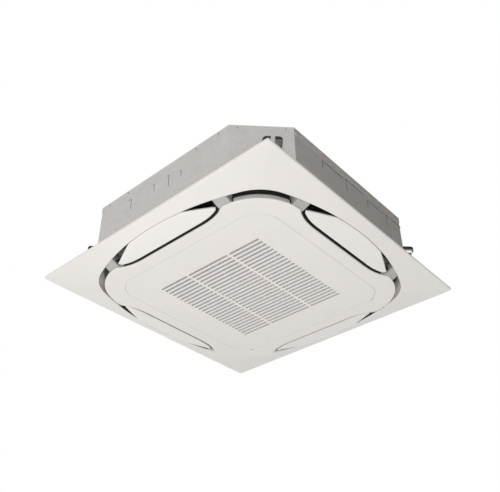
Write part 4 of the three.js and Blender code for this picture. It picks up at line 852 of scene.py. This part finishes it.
def make_outer_frame(sizes):
    """Outer moulding: thin rim, sloping face and the outlet's outer wall."""
    edge, lip = sizes.rim_fillet * 1000, 1.6
    rim = [(panel_edge(d), z) for d, z in fillet(0, edge, RIM_Z + edge, RIM_Z, 5)]
    outlet = [(bowed_square(-d), z) for d, z in fillet(0, lip, OUTLET_Z + lip, OUTLET_Z)]
    return ring("panel_outer_moulding", [
        (duct_edge(-0.8), 8.0), (case_edge(1.2), 8.0), (case_edge(1.2), 0.0),
        (panel_edge(0.7), 0.0), (panel_edge(0), -0.7), *rim, *reversed(outlet),
        (bowed_square(0), OUTLET_TOP), (duct_edge(0), 7.2)])


def make_inner_frame(sizes):
    """Inner moulding round the grille, with the outlet's inner wall and the ledge."""
    lip, small = sizes.lip_fillet * 1000, sizes.seam_edge * 1000
    outside = [(inner_edge(d), z) for d, z in fillet(0, lip, FACE_Z + lip, FACE_Z, 6)]
    # the seam's round edge, as shares of its radius
    opening = [(round_square(OPENING - SEAM_CLOSED + small * (1 - d), OPENING_ROUND + small * (1 - d)),
                FACE_Z + small * rise) for d, rise in ((0, 0), (0.55, 0.12), (0.88, 0.45), (1, 1))]
    side, ledge, behind = (round_square(half, OPENING_ROUND) for half in (OPENING, LEDGE, OPENING + 3))
    made = ring("panel_inner_moulding", [
        (inner_edge(WALL_LEAN), WALL_TOP), *outside, *opening, (side, -34.2), (side, LEDGE_UNDER),
        (ledge, LEDGE_UNDER), (ledge, LEDGE_OVER), (behind, LEDGE_OVER), (behind, BACK_Z),
        (inner_edge(6), BACK_Z), (inner_edge(15), WALL_TOP)])
    # room for the grille's hinge to swing in
    near, far, radius = 255.0, 271.0, 4.1
    cutters, added = [], []
    for end in (-1, 1):
        ys = sorted((end * near, end * far))
        cutters.append(lathe("relief", [(0, ys[0]), (radius, ys[0]), (radius, ys[1]), (0, ys[1])],
                             HINGE, "Y", 24))
        cutters.append(block("slot", (HINGE.x - 3, HINGE.x + radius), ys, (FACE_Z - 1, HINGE.z), 0))
    carve(made, cutters)
    for end in (-1, 1):
        added.append(block("seat", (302.6, 309), (end * 271.2, end * 280), (-34.4, -28.5), 0.5))
    for end in (-1, 1):
        added.append(block("stay", (-303, -295), (end * CATCH_Y - 11, end * CATCH_Y + 11),
                           (LEDGE_OVER - 0.2, -15.5), 0.4))
    return joined("panel_inner_moulding_full", [made, *added])


def wall_shade_strip(start, end, low, high):
    """Black strip of painted shade on the outlet's inner wall, or above it on the side of the drain pan.
    """
    section = []
    for z, d in ((low, 0.2), (low, -0.9), (high, -0.9), (high, 0.2)):
        share = min(1.0, (z - BACK_Z) / (WALL_TOP - BACK_Z))
        section.append((inner_edge(WALL_LEAN * share + d), z))
    return ring_part("strip", section, start, end)


def outer_shade_strip(start, end):
    """Thin black strip of painted shade on the outlet's outer wall and on the funnel over it."""
    thick, sunk, foot, top = 0.4, 0.2, OUTLET_Z + 2.4, 7.0
    return ring_part("strip", [
        (bowed_square(-sunk), foot), (bowed_square(thick), foot), (bowed_square(thick), OUTLET_TOP),
        (duct_edge(thick), top), (duct_edge(-sunk), top), (bowed_square(-sunk), OUTLET_TOP)],
        start, end)


def make_shade_lining():
    """Black strips of painted shade on the outlet's walls, where the deep gaps fall dark: all round behind
    the flaps, and high up at the corners.
    """
    # directions in degrees: to the end of a flap's side, and of a corner outlet
    side, near, far, cheek = 28.8, 34.6, 55.4, 0.5
    strips = []
    for quarters in range(4):
        # painted shade behind the flap, on the funnel and the pan's side, high in the corner outlet, and
        # thin strips of painted shadow gap beside the supports
        parts = [
            wall_shade_strip(-side, side, -30.6, 13), outer_shade_strip(-side, side),
            wall_shade_strip(-side, side, 14.5, 45.5), wall_shade_strip(near, far, -15.5, 13),
            wall_shade_strip(near, near + cheek, -31, -15.6), wall_shade_strip(far - cheek, far, -31, -15.6)]
        strips += [turned_about_z(part, quarters) for part in parts]
    return joined("outlet_lining", strips)


def flap_outline():
    """The flap's plan, anticlockwise, for the side at +X."""
    bow = OUTLET_BOW - 1.5
    centre = OUTLET_MID - 1.5 - bow
    sweep = math.asin(FLAP_TIP * 0.54 / bow)
    arc = [sweep * i / 20 for i in range(-20, 21)]
    outer = [(centre + bow * math.cos(a), bow * math.sin(a)) for a in arc]
    start, nose = Vector(outer[-1]), Vector((OUTLET_MID - 47, FLAP_TIP - 8))
    slant = [tuple(start.lerp(nose, t) + Vector((0.8, 0.3)) * math.sin(math.pi * t))
             for t in (0.03, 0.08, 0.2, 0.4, 0.6, 0.8, 0.95)]
    tip = [(nose.x - dx, FLAP_TIP - dy)
           for dx, dy in ((0.4, 5.6), (1.5, 2.8), (3.2, 1), (5.2, 0.2), (7, 0.4))]
    inner = [(recess_edge(FLAP_TIP * k / 40, 0) + FLAP_GAP, FLAP_TIP * k / 40)
             for k in range(39, 0, -1)]
    upper = slant + tip + inner
    middle = [(recess_edge(0, 0) + FLAP_GAP, 0.0)]
    return outer + upper + middle + [(x, -y) for x, y in reversed(upper)]


def over_flap(points, rise):
    """The plan points at a height over the closed flap's sloping lower face."""
    (x0, z0), (x1, z1) = FLAP_INNER, FLAP_OUTER
    slope = (z1 - z0) / (x1 - x0)
    return [(x, y, z0 + slope * (x - x0) + rise) for x, y in points]


def make_flap(side):
    """Lens-shaped flap with soft edges, and a lip and stiffening ribs on its back."""
    points = flap_outline()
    # (inset, height) of the rounded edge, from the lower face to the back
    skin = plate("flap", [over_flap(inset_points(points, d), rise) for d, rise in (
        (3.4, 0.02), (1.5, 0.28), (0.5, 1.0), (0.0, 2.3), (0.0, 5.0), (0.5, 6.1), (1.6, 6.5))])
    back = [(recess_edge(y, 0) + FLAP_GAP, y)
            for y in (FLAP_TIP * 0.94 * k / 20 for k in range(-20, 21))]
    edge = [(x + 0.6, y) for x, y in back] + [(x + 2.2, y) for x, y in reversed(back)]
    lip = plate("lip", [over_flap(edge, rise) for rise in (5.6, 10.8)])
    ribs = grown("ribs", "bars", "flap_plastic", Count=5, Pitch=0.066, Width=0.0016, Length=0.022,
                 Height=0.006, Middle=(0.0, -0.391, -0.0215), Turn=0.0)
    turned_about_z(ribs, 1)
    return turned_about_z(joined(f"flap_moulding_{side + 1}", [skin, lip, ribs]), side)


def make_flap_pins(side):
    """Ears and pins that carry a flap, moulded on in black."""
    pieces = []
    # the pin at the motor's end is longer
    for end, reach in ((-1, 223.0), (1, 236.0)):
        xs, top = (FLAP_AXIS - 4.2, FLAP_AXIS + 4.2), FLAP_AXIS_Z + 4.2
        pieces.append(block("ear", xs, (end * 201.5, end * 205), (-27.5, top), 1.5, 3))
        pin = [(r, end * y) for r, y in ((0, 202), (3, 202), (3, reach - 0.8), (2.3, reach), (0, reach))]
        pieces.append(lathe("pin", pin, (FLAP_AXIS, 0, FLAP_AXIS_Z), "Y", 24))
    return turned_about_z(joined(f"flap_pins_{side + 1}", pieces), side)


# ------------------------------------------------------------ the suction grille

def make_grille(sizes):
    """Slotted plate with its slats behind it, skirt, filter guides and hinge bosses."""
    count, pitch, width = sizes.slot_count, sizes.slot_pitch, sizes.slot_width
    edge = grille_edge(-SEAM_CLOSED)
    outline = [Vector(point(edge, angle, 0)) * MM for angle in ANGLES]
    mesh = bpy.data.meshes.new("outline")
    mesh.from_pydata(outline, [(i, (i + 1) % len(outline)) for i in range(len(outline))], [])
    face = grown("grille_face", "slotted", "panel_plastic", mesh, Slots=count, Pitch=pitch,
                 Width=width, End_Radius=sizes.slot_end_radius)
    face = soften(face, sizes.seam_edge * 1000, 2, 50)
    skirt = ring("skirt", [(grille_edge(d), z) for d, z in (
        (0, GRILLE_FOOT), (0, -23.6), (0.6, -23.0), (2.4, -23.0), (3, -23.6), (3, GRILLE_FOOT))])
    # half the field of slots, across and along them
    across, along = (count - 1) * pitch * 1000 / 2 + width * 500, 211
    slats = grown("slats", "bars", "panel_plastic", Count=count - 1, Pitch=pitch,
                  Width=pitch - width - 0.0006, Length=0.422, Height=0.0052, Middle=(0, 0, -0.0306))
    ribs = grown("ribs", "bars", "panel_plastic", Count=2, Pitch=0.174, Width=0.0074,
                 Length=2 * across * MM, Height=0.005, Middle=(0, 0, -0.0307), Turn=QUARTER)
    zs = (GRILLE_FOOT, -28)
    rims = [block("rim", (s * (across + 0.3), s * (across + 4)), (-along, along), zs, 0.4)
            for s in (-1, 1)]
    rims += [block("rim", (-across - 4, across + 4), (s * 207.3, s * along), zs, 0.4)
             for s in (-1, 1)]
    guides, bosses = [], []
    for s in (-1, 1):
        reach, ys = 229.3, (s * 226.3, s * 229.3)
        guides.append(block("guide", (-reach, reach), ys, (GRILLE_FOOT, -22), 0.5))
        for x in (-110, 110):
            xs, top = (x - 9, x + 9), -19.4
            guides.append(block("post", xs, ys, (GRILLE_FOOT, top), 0.4))
            guides.append(block("hook", xs, (s * 223.3, s * reach), (top - 2, top), 0.4))
    for s in (-1, 1):
        y0, y1 = sorted((s * 248.0, s * 257.0))
        tube = [(1.8, y0), (2.6, y0), (3.0, y0 + 0.4), (3.0, y1 - 0.4), (2.6, y1), (1.8, y1)]
        boss = lathe("boss", tube, HINGE, "Y", 24, closed=True)
        bosses.append(carve(boss, [block("cut", (295, 315), (-400, 400), (-45, FACE_Z + 0.5), 0)]))
        bosses.append(block("tongue", (-300.5, -297.5), (s * CATCH_Y - 10, s * CATCH_Y + 10),
                            (-33.4, -23), 0.4))
    return joined("grille_moulding", [face, skirt, slats, ribs, *rims, *guides, *bosses])


def make_filter(sizes):
    """Framed net: welded threads both ways, with cross ribs."""
    low, high, half, bar, rib, cross = -27.7, -21.7, 226.0, 6, 3, 74.33
    full, heights, lower = (-half, half), (low, high), (low, high - 0.6)
    sides = []
    for s in (-1, 1):
        strip, thin = (s * (half - bar), s * half), (s * cross - rib, s * cross + rib)
        sides += [
            block("side", strip, full, heights, 0.8), block("side", full, strip, heights, 0.8),
            block("cross", thin, full, lower, 0.8), block("cross", full, thin, lower, 0.8)]
    pitch = sizes.net_pitch
    count = int(2 * (half - 4) * MM / pitch)
    threads = [grown("threads", "bars", "filter_net", Count=count, Pitch=pitch, Width=0.0005,
                     Length=2 * (half - 3) * MM, Height=0.0005, Middle=(0, 0, (low + rise) * MM),
                     Turn=turn)
               for turn, rise in ((0.0, 0.5), (QUARTER, 0.9))]
    return joined("filter_frame_and_net", [*sides, *threads])


# ------------------------------------------------------------ casing

def slits(sizes, near, far, margin=0.0):
    """Solids along the knock-outs' slits, between two depths behind the face of the casing.

    Each drops from its corner to its foot, and runs along the wall from the same corner.
    """
    made, m = [], margin
    depths = (-CASE_HALF + near, -CASE_HALF + far)
    for wall, along, top, foot, reach in KNOCK_OUTS:
        service = wall == "-Y"
        width = 1000 * (sizes.service_slit_width if service else sizes.slit_width)
        inner = top - width - m
        shape = [(along - m, foot - m), (along + width + m, foot - m), (along + width + m, inner),
                 (reach + m, inner), (reach + m, top + m), (along - m, top + m)]
        made.append(plate("slit", [[(u, depth, z) if service else (depth, u, z) for u, z in shape]
                                   for depth in depths]))
    return made


def make_casing(sizes):
    """Folded galvanised shell with slit knock-outs."""
    return carve(softened("casing_sheet", "casing_shell", 0.5), slits(sizes, -1, 2.75))


def make_slit_shade(sizes):
    """Black strips behind the slits: painted shade that makes the slits read dark."""
    return joined("knock_out_seals", slits(sizes, 2.76, 2.96, 2.0))


def casing_screws():
    """Screws through the lid's folded edge and round the lower edge of the casing."""
    places = []

    def add(wall, distance, offsets, z):
        n, along = facing(*wall)
        places.extend((n * distance + along * u + Vector((0, 0, z)), n) for u in offsets)

    for wall in ((1, 0), (0, 1), (-1, 0), (0, -1)):
        add(wall, CASE_HALF, (-246, -154, 154, 246), LID_SCREWS_Z)
        add(wall, CASE_HALF - 1.5, (-215, 215), FOOT_SCREWS_Z)
    for corner in sorted(CORNERS):
        add(corner, CASE_CORNER, (-70, 70), LID_SCREWS_Z)
    return heads_on("casing_screws", places, pan_head(3.4, 2.2), 3)


def make_lid():
    """Lid with a folded edge that ends in a hem, and beads pressed into it to stiffen it."""
    lid = softened("lid_sheet", "top_plate", 0.3)
    bead = [(118, 215.4), (121, 217.2), (126, 217.8), (131, 217.2), (134, 215.4)]
    beads = [lathe("bead", bead, steps=96, closed=True)]
    for k in range(4):
        strip = block("bead", (165, 372), (-5, 5), (215.2, 217.6), 1.1, 3)
        beads.append(turned_about_z(strip, k + 0.5))
    hem = ring("hem", [(case_edge(d), z) for d, z in (
        (0.05, 199.5), (0.05, 198.4), (1.4, 189.0), (1.48, 189.0), (1.45, 199.5))])
    return joined("lid_pressed", [lid, *beads, hem])


def paint_flange_shade(pressing, corner):
    """Paints the upright faces of the rim that is folded down round the bracket's tongue black, as painted
    shade, in the rubber finish.
    """
    outward, _ = facing(*corner)
    foot, top = CASE_CORNER + 3.0, 128.0
    pressing.data.materials.append(MATERIALS["rubber"])
    for face in pressing.data.polygons:
        centre = face.center / MM
        # only the upright faces low on the folded rim turn black: painted shade on the flanges' sides
        upright = abs(face.normal.z) < 0.5
        if upright and centre.dot(outward) > foot and centre.z < top:
            face.material_index = 1


def bracket_rivets():
    """Two rivets over each hanger bracket's tongue."""
    places = []
    for i, corner in enumerate(CORNERS):
        low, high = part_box(f"hanger_bracket_{i + 1}")
        n, along = facing(*corner)
        slide = ((low + high) / 2 / MM).dot(along)
        foot = CASE_CORNER - 1.2 + 2.5
        for u in (-19, 19):
            places.append((n * foot + along * (slide + u) + Vector((0, 0, RIVETS_Z)), n))
    return heads_on("bracket_rivets", places, rivet_head(3.6, 1.6), 5)


# ------------------------------------------------------------ fan

def make_bell_mouth():
    """Moulded inlet ring: flat flange, smooth trumpet and a rolled lip."""
    def trumpet(throat, foot):
        """Quarter-round from the flange up to the throat."""
        turns = [QUARTER * i / 12 for i in range(13)]
        return [(circle(throat + 48.0 * (1 - math.sin(a))), foot + 40.0 * (1 - math.cos(a)))
                for a in turns]

    flange, rounded = round_square(290.0, 110.0), round_square(289.5, 109.5)
    return ring("inlet_ring", [
        (flange, 11.5), (flange, 13.4), (rounded, 13.7), *trumpet(194.5, 13.7), (circle(194.5), 65.4),
        (circle(193.9), 66.0), (circle(192.6), 66.0), (circle(192.0), 65.4),
        *reversed(trumpet(192.0, 11.2)), (rounded, 11.2)])


def make_wheel():
    """Turbo fan wheel: hub bowl, back disc, shroud and seven backward-curved blades."""
    back = lathe("back", [
        (6.4, 112.2), (20, 112.2), (26, 112.8), (48, 118), (70, 127), (76, 134), (78, 142), (80, 168),
        (82, 172), (86, 173.2), (236, 173.2), (238, 174.6), (236, 176.1), (84, 176.1), (78, 175),
        (76, 170), (75, 144), (73, 138), (67, 130.5), (46, 121.5), (25, 116.4), (6.4, 116.4)],
        steps=96, closed=True)
    shroud = lathe("shroud", [
        (198.3, 60.2), (200.8, 60.2), (202.5, 64), (205, 70), (211, 77.5), (221, 84), (237.6, 88.2),
        (237.6, 90.8), (220, 87), (209, 80.5), (203, 73), (200, 66.5), (198.3, 63)],
        steps=96, closed=True)
    # a blade from its inner edge (0) to its tip (1): radius, angle and half thickness as an angle
    rows = []
    for t in (k / 14 for k in range(15)):
        r = WHEEL_RADIUS - 1.2 - 84 * (1 - t)
        rows.append((r, 0.5 * t + 0.12 * t * t, (1.0 + 5.5 * t * (1 - t)) / r))
    down = [(r * math.cos(a - h), r * math.sin(a - h)) for r, a, h in rows]
    up = [(r * math.cos(a + h), r * math.sin(a + h)) for r, a, h in reversed(rows)]
    blade = plate("blade", [[(x, y, z) for x, y in down + up] for z in (72.0, 174.0)])
    for v in blade.data.vertices:
        r = math.hypot(v.co.x, v.co.y) / MM
        # the blade's lower edge follows the shroud
        if v.co.z < 0.1:
            v.co.z = min(74.0 + max(0.0, r - 205) * 0.5, 89.5) * MM
    blades = grown("blades", "wheel", "black_plastic", unlinked(blade), Count=BLADES)
    return joined("fan_wheel_moulding", [back, shroud, blades])


def make_motor():
    """Die-cast fan motor with cooling ribs round its can."""
    can = lathe("can", [
        (6.6, 141.4), (19, 141.4), (21, 142), (24, 147), (58, 150), (63, 152), (65.9, 156), (65.9, 201),
        (65, 203.6), (60, 203.9), (6.6, 203.9)], steps=96, closed=True)
    rib = block("rib", (64.0, 65.95), (-1.0, 1.0), (158, 200), 0.3)
    ribs = grown("ribs", "wheel", "motor_housing", unlinked(rib), Count=36)
    return joined("fan_motor_casting", [can, ribs])


# ------------------------------------------------------------ studio

def make_camera():
    """Camera below the panel's near corner, looking up at it."""
    az, el, roll = (math.radians(a) for a in (CAMERA_AZIMUTH, CAMERA_RISE, CAMERA_ROLL))
    ahead = Vector((math.sin(az) * math.cos(el), math.cos(az) * math.cos(el), math.sin(el)))
    right = ahead.cross(Vector((0, 0, 1))).normalized()
    up = right.cross(ahead)
    matrix = Matrix((right * math.cos(roll) + up * math.sin(roll),
                     up * math.cos(roll) - right * math.sin(roll), -ahead)).transposed().to_4x4()
    matrix.translation = CAMERA_AT
    data = bpy.data.cameras.new("camera")
    data.sensor_fit = "HORIZONTAL"
    data.sensor_width = SENSOR_WIDTH
    data.lens = PHOTO_FOCAL / PHOTO_WIDTH * SENSOR_WIDTH
    data.clip_end = 50
    camera = link("camera", data)
    camera.matrix_world = matrix
    bpy.context.scene.camera = camera


def make_sheet(name, corners, finish, roughness, spots_mm, dark, light):
    """Flat sheet of the studio, with faint spots in its colour."""
    mesh = bpy.data.meshes.new(name)
    mesh.from_pydata(corners, [], [(0, 1, 2, 3)])
    sheet = link(name, mesh)
    material, tree, shader = surface(finish, Roughness=roughness, IOR=1.45)
    set_in(tree, shader, Base_Color=two_tones(tree, noise(tree, spots_mm), dark, light))
    paint(sheet, material)
    return sheet


def make_floor(colour):
    """Pale plain floor below the unit."""
    corners = [(x * FLOOR_HALF, y * FLOOR_HALF, FLOOR_Z) for x, y in ((-1, -1), (1, -1), (1, 1), (-1, 1))]
    floor = make_sheet("floor", corners, "Studio floor, painted", 0.8, 400.0, *tones(colour, 0.985))


def make_card():
    """Dark card at the right that only shows as the tone of the metal that mirrors it."""
    up = CARD_ALONG.cross(CARD_AT.normalized())
    corners = [tuple(CARD_AT + CARD_ALONG * u + up * v) for u, v in (
        (CARD_FROM, -CARD_RISE), (CARD_TO, -CARD_RISE), (CARD_TO, CARD_RISE), (CARD_FROM, CARD_RISE))]
    # real card is flocked black; a dark grey keeps the metal's right side from going black
    card = make_sheet("studio_card", corners, "Card, flocked", 0.95, 300.0, "8e8c89", "989693")
    for ray in ("camera", "diffuse", "transmission", "volume_scatter", "shadow"):
        setattr(card, f"visible_{ray}", False)


def make_light():
    """White studio that is shaded for matt surfaces only, and two broad lamps low in front."""
    world = bpy.data.worlds.new("studio")
    bpy.context.scene.world = world
    world.use_nodes = True
    tree = world.node_tree
    tree.nodes.clear()
    where = node(tree, "ShaderNodeTexCoord").outputs["Generated"]
    fade = node(tree, "ShaderNodeVectorMath", {0: where, 1: WORLD_SIDEWAYS}, operation="DOT_PRODUCT")
    sideways = maths(tree, "ADD", fade.outputs["Value"], WORLD_LEVEL)
    height = node(tree, "ShaderNodeSeparateXYZ", {"Vector": where})
    overhead = node(tree, "ShaderNodeMapRange", {"Value": height.outputs[2], **OVERHEAD})
    path = node(tree, "ShaderNodeLightPath").outputs
    through = maths(tree, "MAXIMUM", path["Is Camera Ray"], path["Is Transmission Ray"])
    light, white = (
        node(tree, "ShaderNodeBackground", {"Color": (1, 1, 1, 1), "Strength": strength}).outputs[0]
        for strength in (maths(tree, "ADD", sideways, overhead.outputs[0]), 1.0))
    both = node(tree, "ShaderNodeMixShader", {
        0: maths(tree, "MAXIMUM", through, path["Is Glossy Ray"]), 1: light, 2: white})
    node(tree, "ShaderNodeOutputWorld", {"Surface": both.outputs[0]})
    for name, place, aim, size, power in LAMPS:
        data = bpy.data.lights.new(name, "AREA")
        data.shape = "DISK"
        data.size = size
        data.energy = power
        lamp = link(name, data)
        lamp.location = place
        lamp.rotation_euler = (Vector(aim) - Vector(place)).to_track_quat("-Z", "Y").to_euler()
        lamp.visible_camera = lamp.visible_glossy = False


# ------------------------------------------------------------ properties and operators

def length(name, description, default, **limits):
    """Property for a length."""
    return FloatProperty(name=name, description=description, default=default, unit="LENGTH", **limits)


def tint(name, description, code):
    """Property for a colour, given as a hex code."""
    return FloatVectorProperty(name=name, description=description, subtype="COLOR", size=3,
                               default=linear(code)[:3])


class CassetteSizes(bpy.types.PropertyGroup):
    """Sizes of the visible details."""

    rim_fillet: length("Rim fillet", "Radius along the panel's lower rim", 0.0025, min=0.001)
    lip_fillet: length("Lip fillet", "Radius at the inner frame's outer lip", 0.003, min=0.001)
    seam_edge: length("Seam edge", "Radius along the seam round the grille", 0.0005, min=0.0002)
    slot_count: IntProperty(name="Slots", description="Slots in a row of the suction grille",
                            default=25, min=3)
    slot_pitch: length("Slot pitch", "Distance from slot to slot", 0.0168)
    slot_width: length("Slot width", "Width of a grille slot", 0.0085)
    slot_end_radius: length("Slot corner", "Radius of a slot's corners", 0.0015)
    net_pitch: length("Net pitch", "Distance between the filter's threads", 0.0026, min=0.001)
    slit_width: length("Slit width", "Width of the knock-out slits in the casing", 0.0022, min=0.0004)
    service_slit_width: length(
        "Service slit width", "Width of the slits on the side with the pipes' way in", 0.0036, min=0.0004)


class CassetteColours(bpy.types.PropertyGroup):
    """Main colours of the finishes."""

    panel: tint("Panel", "Colour of the panel and grille", "e9e5e2")
    flap: tint("Flaps", "Colour of the air flaps", "ece9e6")
    support: tint("Supports", "Colour of the flap supports", "b4b2af")
    steel: tint("Casing steel", "Colour of the galvanised sheet", "c9c5c2")
    floor: tint("Floor", "Colour of the studio floor", "f2f1ef")


class CASSETTE_OT_finishes(bpy.types.Operator):
    """Make the finishes and put them on every CAD node"""

    bl_idname = "cassette.finishes"
    bl_label = "Finishes"

    def execute(self, context):
        make_materials(context.scene.cassette_colours)
        for name, obj in frame["nodes"].items():
            for holder in obj.material_slots:
                holder.material = MATERIALS[SLOTS[name]]
            if not obj.material_slots:
                raise RuntimeError(f"{name} has no material slot")
        return {"FINISHED"}


class CASSETTE_OT_panel(bpy.types.Operator):
    """Build the panel's outer and inner mouldings, the outlet's black lining of painted shade and the
    gasket
    """

    bl_idname = "cassette.panel"
    bl_label = "Panel"

    def execute(self, context):
        sizes = context.scene.cassette_sizes
        dress(make_outer_frame(sizes), ROOT, "panel_plastic", "panel_outer_frame")
        dress(make_inner_frame(sizes), ROOT, "panel_plastic", "panel_inner_frame")
        # black strips that paint the shade in the outlet's deep gaps, in the gasket's foam finish
        dress(make_shade_lining(), ROOT, "seal_foam")
        dress(softened("panel_gasket_strip", "panel_gasket", 0.8), ROOT, "seal_foam", "panel_gasket")
        return {"FINISHED"}


class CASSETTE_OT_flaps(bpy.types.Operator):
    """Build the four air flaps"""

    bl_idname = "cassette.flaps"
    bl_label = "Air flaps"

    def execute(self, context):
        for side in range(4):
            name = f"flap_{side + 1}"
            dress(make_flap(side), name, "flap_plastic", name)
            dress(make_flap_pins(side), name, "black_plastic")
        return {"FINISHED"}


class CASSETTE_OT_supports(bpy.types.Operator):
    """Build the eight flap supports"""

    bl_idname = "cassette.supports"
    bl_label = "Flap supports"

    def execute(self, context):
        for side in range(4):
            for kind in ("free", "motor"):
                name = f"flap_support_{side + 1}_{kind}"
                dress(softened(f"{name}_moulding", name, 0.9, 3), ROOT, "support_plastic", name)
        return {"FINISHED"}


class CASSETTE_OT_grille(bpy.types.Operator):
    """Build the suction grille"""

    bl_idname = "cassette.grille"
    bl_label = "Suction grille"

    def execute(self, context):
        dress(make_grille(context.scene.cassette_sizes), "grille", "panel_plastic", "suction_grille")
        return {"FINISHED"}


class CASSETTE_OT_filter(bpy.types.Operator):
    """Build the air filter"""

    bl_idname = "cassette.filter"
    bl_label = "Air filter"

    def execute(self, context):
        dress(make_filter(context.scene.cassette_sizes), "grille", "filter_net", "air_filter")
        return {"FINISHED"}


class CASSETTE_OT_casing(bpy.types.Operator):
    """Build the casing, its lid, its screws and its insulation"""

    bl_idname = "cassette.casing"
    bl_label = "Casing"

    def execute(self, context):
        sizes = context.scene.cassette_sizes
        dress(make_casing(sizes), ROOT, "galvanised_steel", "casing_shell")
        # black strips behind the slits are painted shade, in the rubber finish
        dress(make_slit_shade(sizes), ROOT, "rubber")
        dress(make_lid(), ROOT, "galvanised_steel", "top_plate")
        dress(casing_screws(), ROOT, "zinc_steel")
        for name in ("wall_insulation", "top_insulation"):
            dress(softened(f"{name}_sheet", name, 1.5, 3), ROOT, "foam", name)
        return {"FINISHED"}


class CASSETTE_OT_brackets(bpy.types.Operator):
    """Build the four hanger brackets with their rivets"""

    bl_idname = "cassette.brackets"
    bl_label = "Hanger brackets"

    def execute(self, context):
        for i, corner in enumerate(CORNERS):
            name = f"hanger_bracket_{i + 1}"
            pressing = dress(softened(f"{name}_pressing", name, 0.7, 3), ROOT, "zinc_steel", name)
            # the flanges' upright faces get black painted shade
            paint_flange_shade(pressing, corner)
        dress(bracket_rivets(), ROOT, "zinc_steel")
        return {"FINISHED"}


class CASSETTE_OT_fan(bpy.types.Operator):
    """Build the inlet ring, the fan wheel, its nut and the motor"""

    bl_idname = "cassette.fan"
    bl_label = "Fan"

    def execute(self, context):
        dress(make_bell_mouth(), ROOT, "black_plastic", "bell_mouth")
        dress(make_wheel(), "fan", "black_plastic", "fan_impeller")
        dress(make_motor(), ROOT, "motor_housing", "fan_motor")
        dress(softened("fan_nut_turned", "fan_nut", 0.7, 3, 25), "fan", "zinc_steel", "fan_nut")
        return {"FINISHED"}


class CASSETTE_OT_works(bpy.types.Operator):
    """Round the edges of the drain pan, control box, plates, nuts and sockets"""

    bl_idname = "cassette.works"
    bl_label = "Pan, plates and electrics"

    def execute(self, context):
        for name, edge in PLAIN_PIECES.items():
            dress(softened(f"{name}_piece", name, edge), ROOT, SLOTS[name], name)
        return {"FINISHED"}


class CASSETTE_OT_studio(bpy.types.Operator):
    """Set up the camera, the floor, the lamps, the world and the card"""

    bl_idname = "cassette.studio"
    bl_label = "Studio"

    def execute(self, context):
        make_camera()
        make_floor(context.scene.cassette_colours.floor)
        make_light()
        make_card()
        context.scene.view_settings.view_transform = "Standard"
        return {"FINISHED"}


class CASSETTE_PT_panel(bpy.types.Panel):
    """Lists the steps and the settings of the cassette"""

    bl_label = "Ceiling cassette"
    bl_space_type = "VIEW_3D"
    bl_region_type = "UI"
    bl_category = "Cassette"

    def draw(self, context):
        for kind in OPERATORS:
            self.layout.operator(kind.bl_idname)
        for group in (context.scene.cassette_sizes, context.scene.cassette_colours):
            for key in group.__annotations__:
                self.layout.prop(group, key)


OPERATORS = (
    CASSETTE_OT_finishes, CASSETTE_OT_panel, CASSETTE_OT_flaps, CASSETTE_OT_supports, CASSETTE_OT_grille,
    CASSETTE_OT_filter, CASSETTE_OT_casing, CASSETTE_OT_brackets, CASSETTE_OT_fan, CASSETTE_OT_works,
    CASSETTE_OT_studio,
)
CLASSES = (CassetteSizes, CassetteColours, *OPERATORS, CASSETTE_PT_panel)


def register():
    for kind in CLASSES:
        bpy.utils.register_class(kind)
    bpy.types.Scene.cassette_sizes = PointerProperty(type=CassetteSizes)
    bpy.types.Scene.cassette_colours = PointerProperty(type=CassetteColours)


def unregister():
    del bpy.types.Scene.cassette_colours
    del bpy.types.Scene.cassette_sizes
    for kind in reversed(CLASSES):
        bpy.utils.unregister_class(kind)


def main():
    register()
    for kind in OPERATORS:
        done = getattr(bpy.ops.cassette, kind.bl_idname.split(".")[1])()
        if done != {"FINISHED"}:
            raise RuntimeError(f"{kind.bl_label} wasn't finished")


if __name__ == "__main__":
    main()
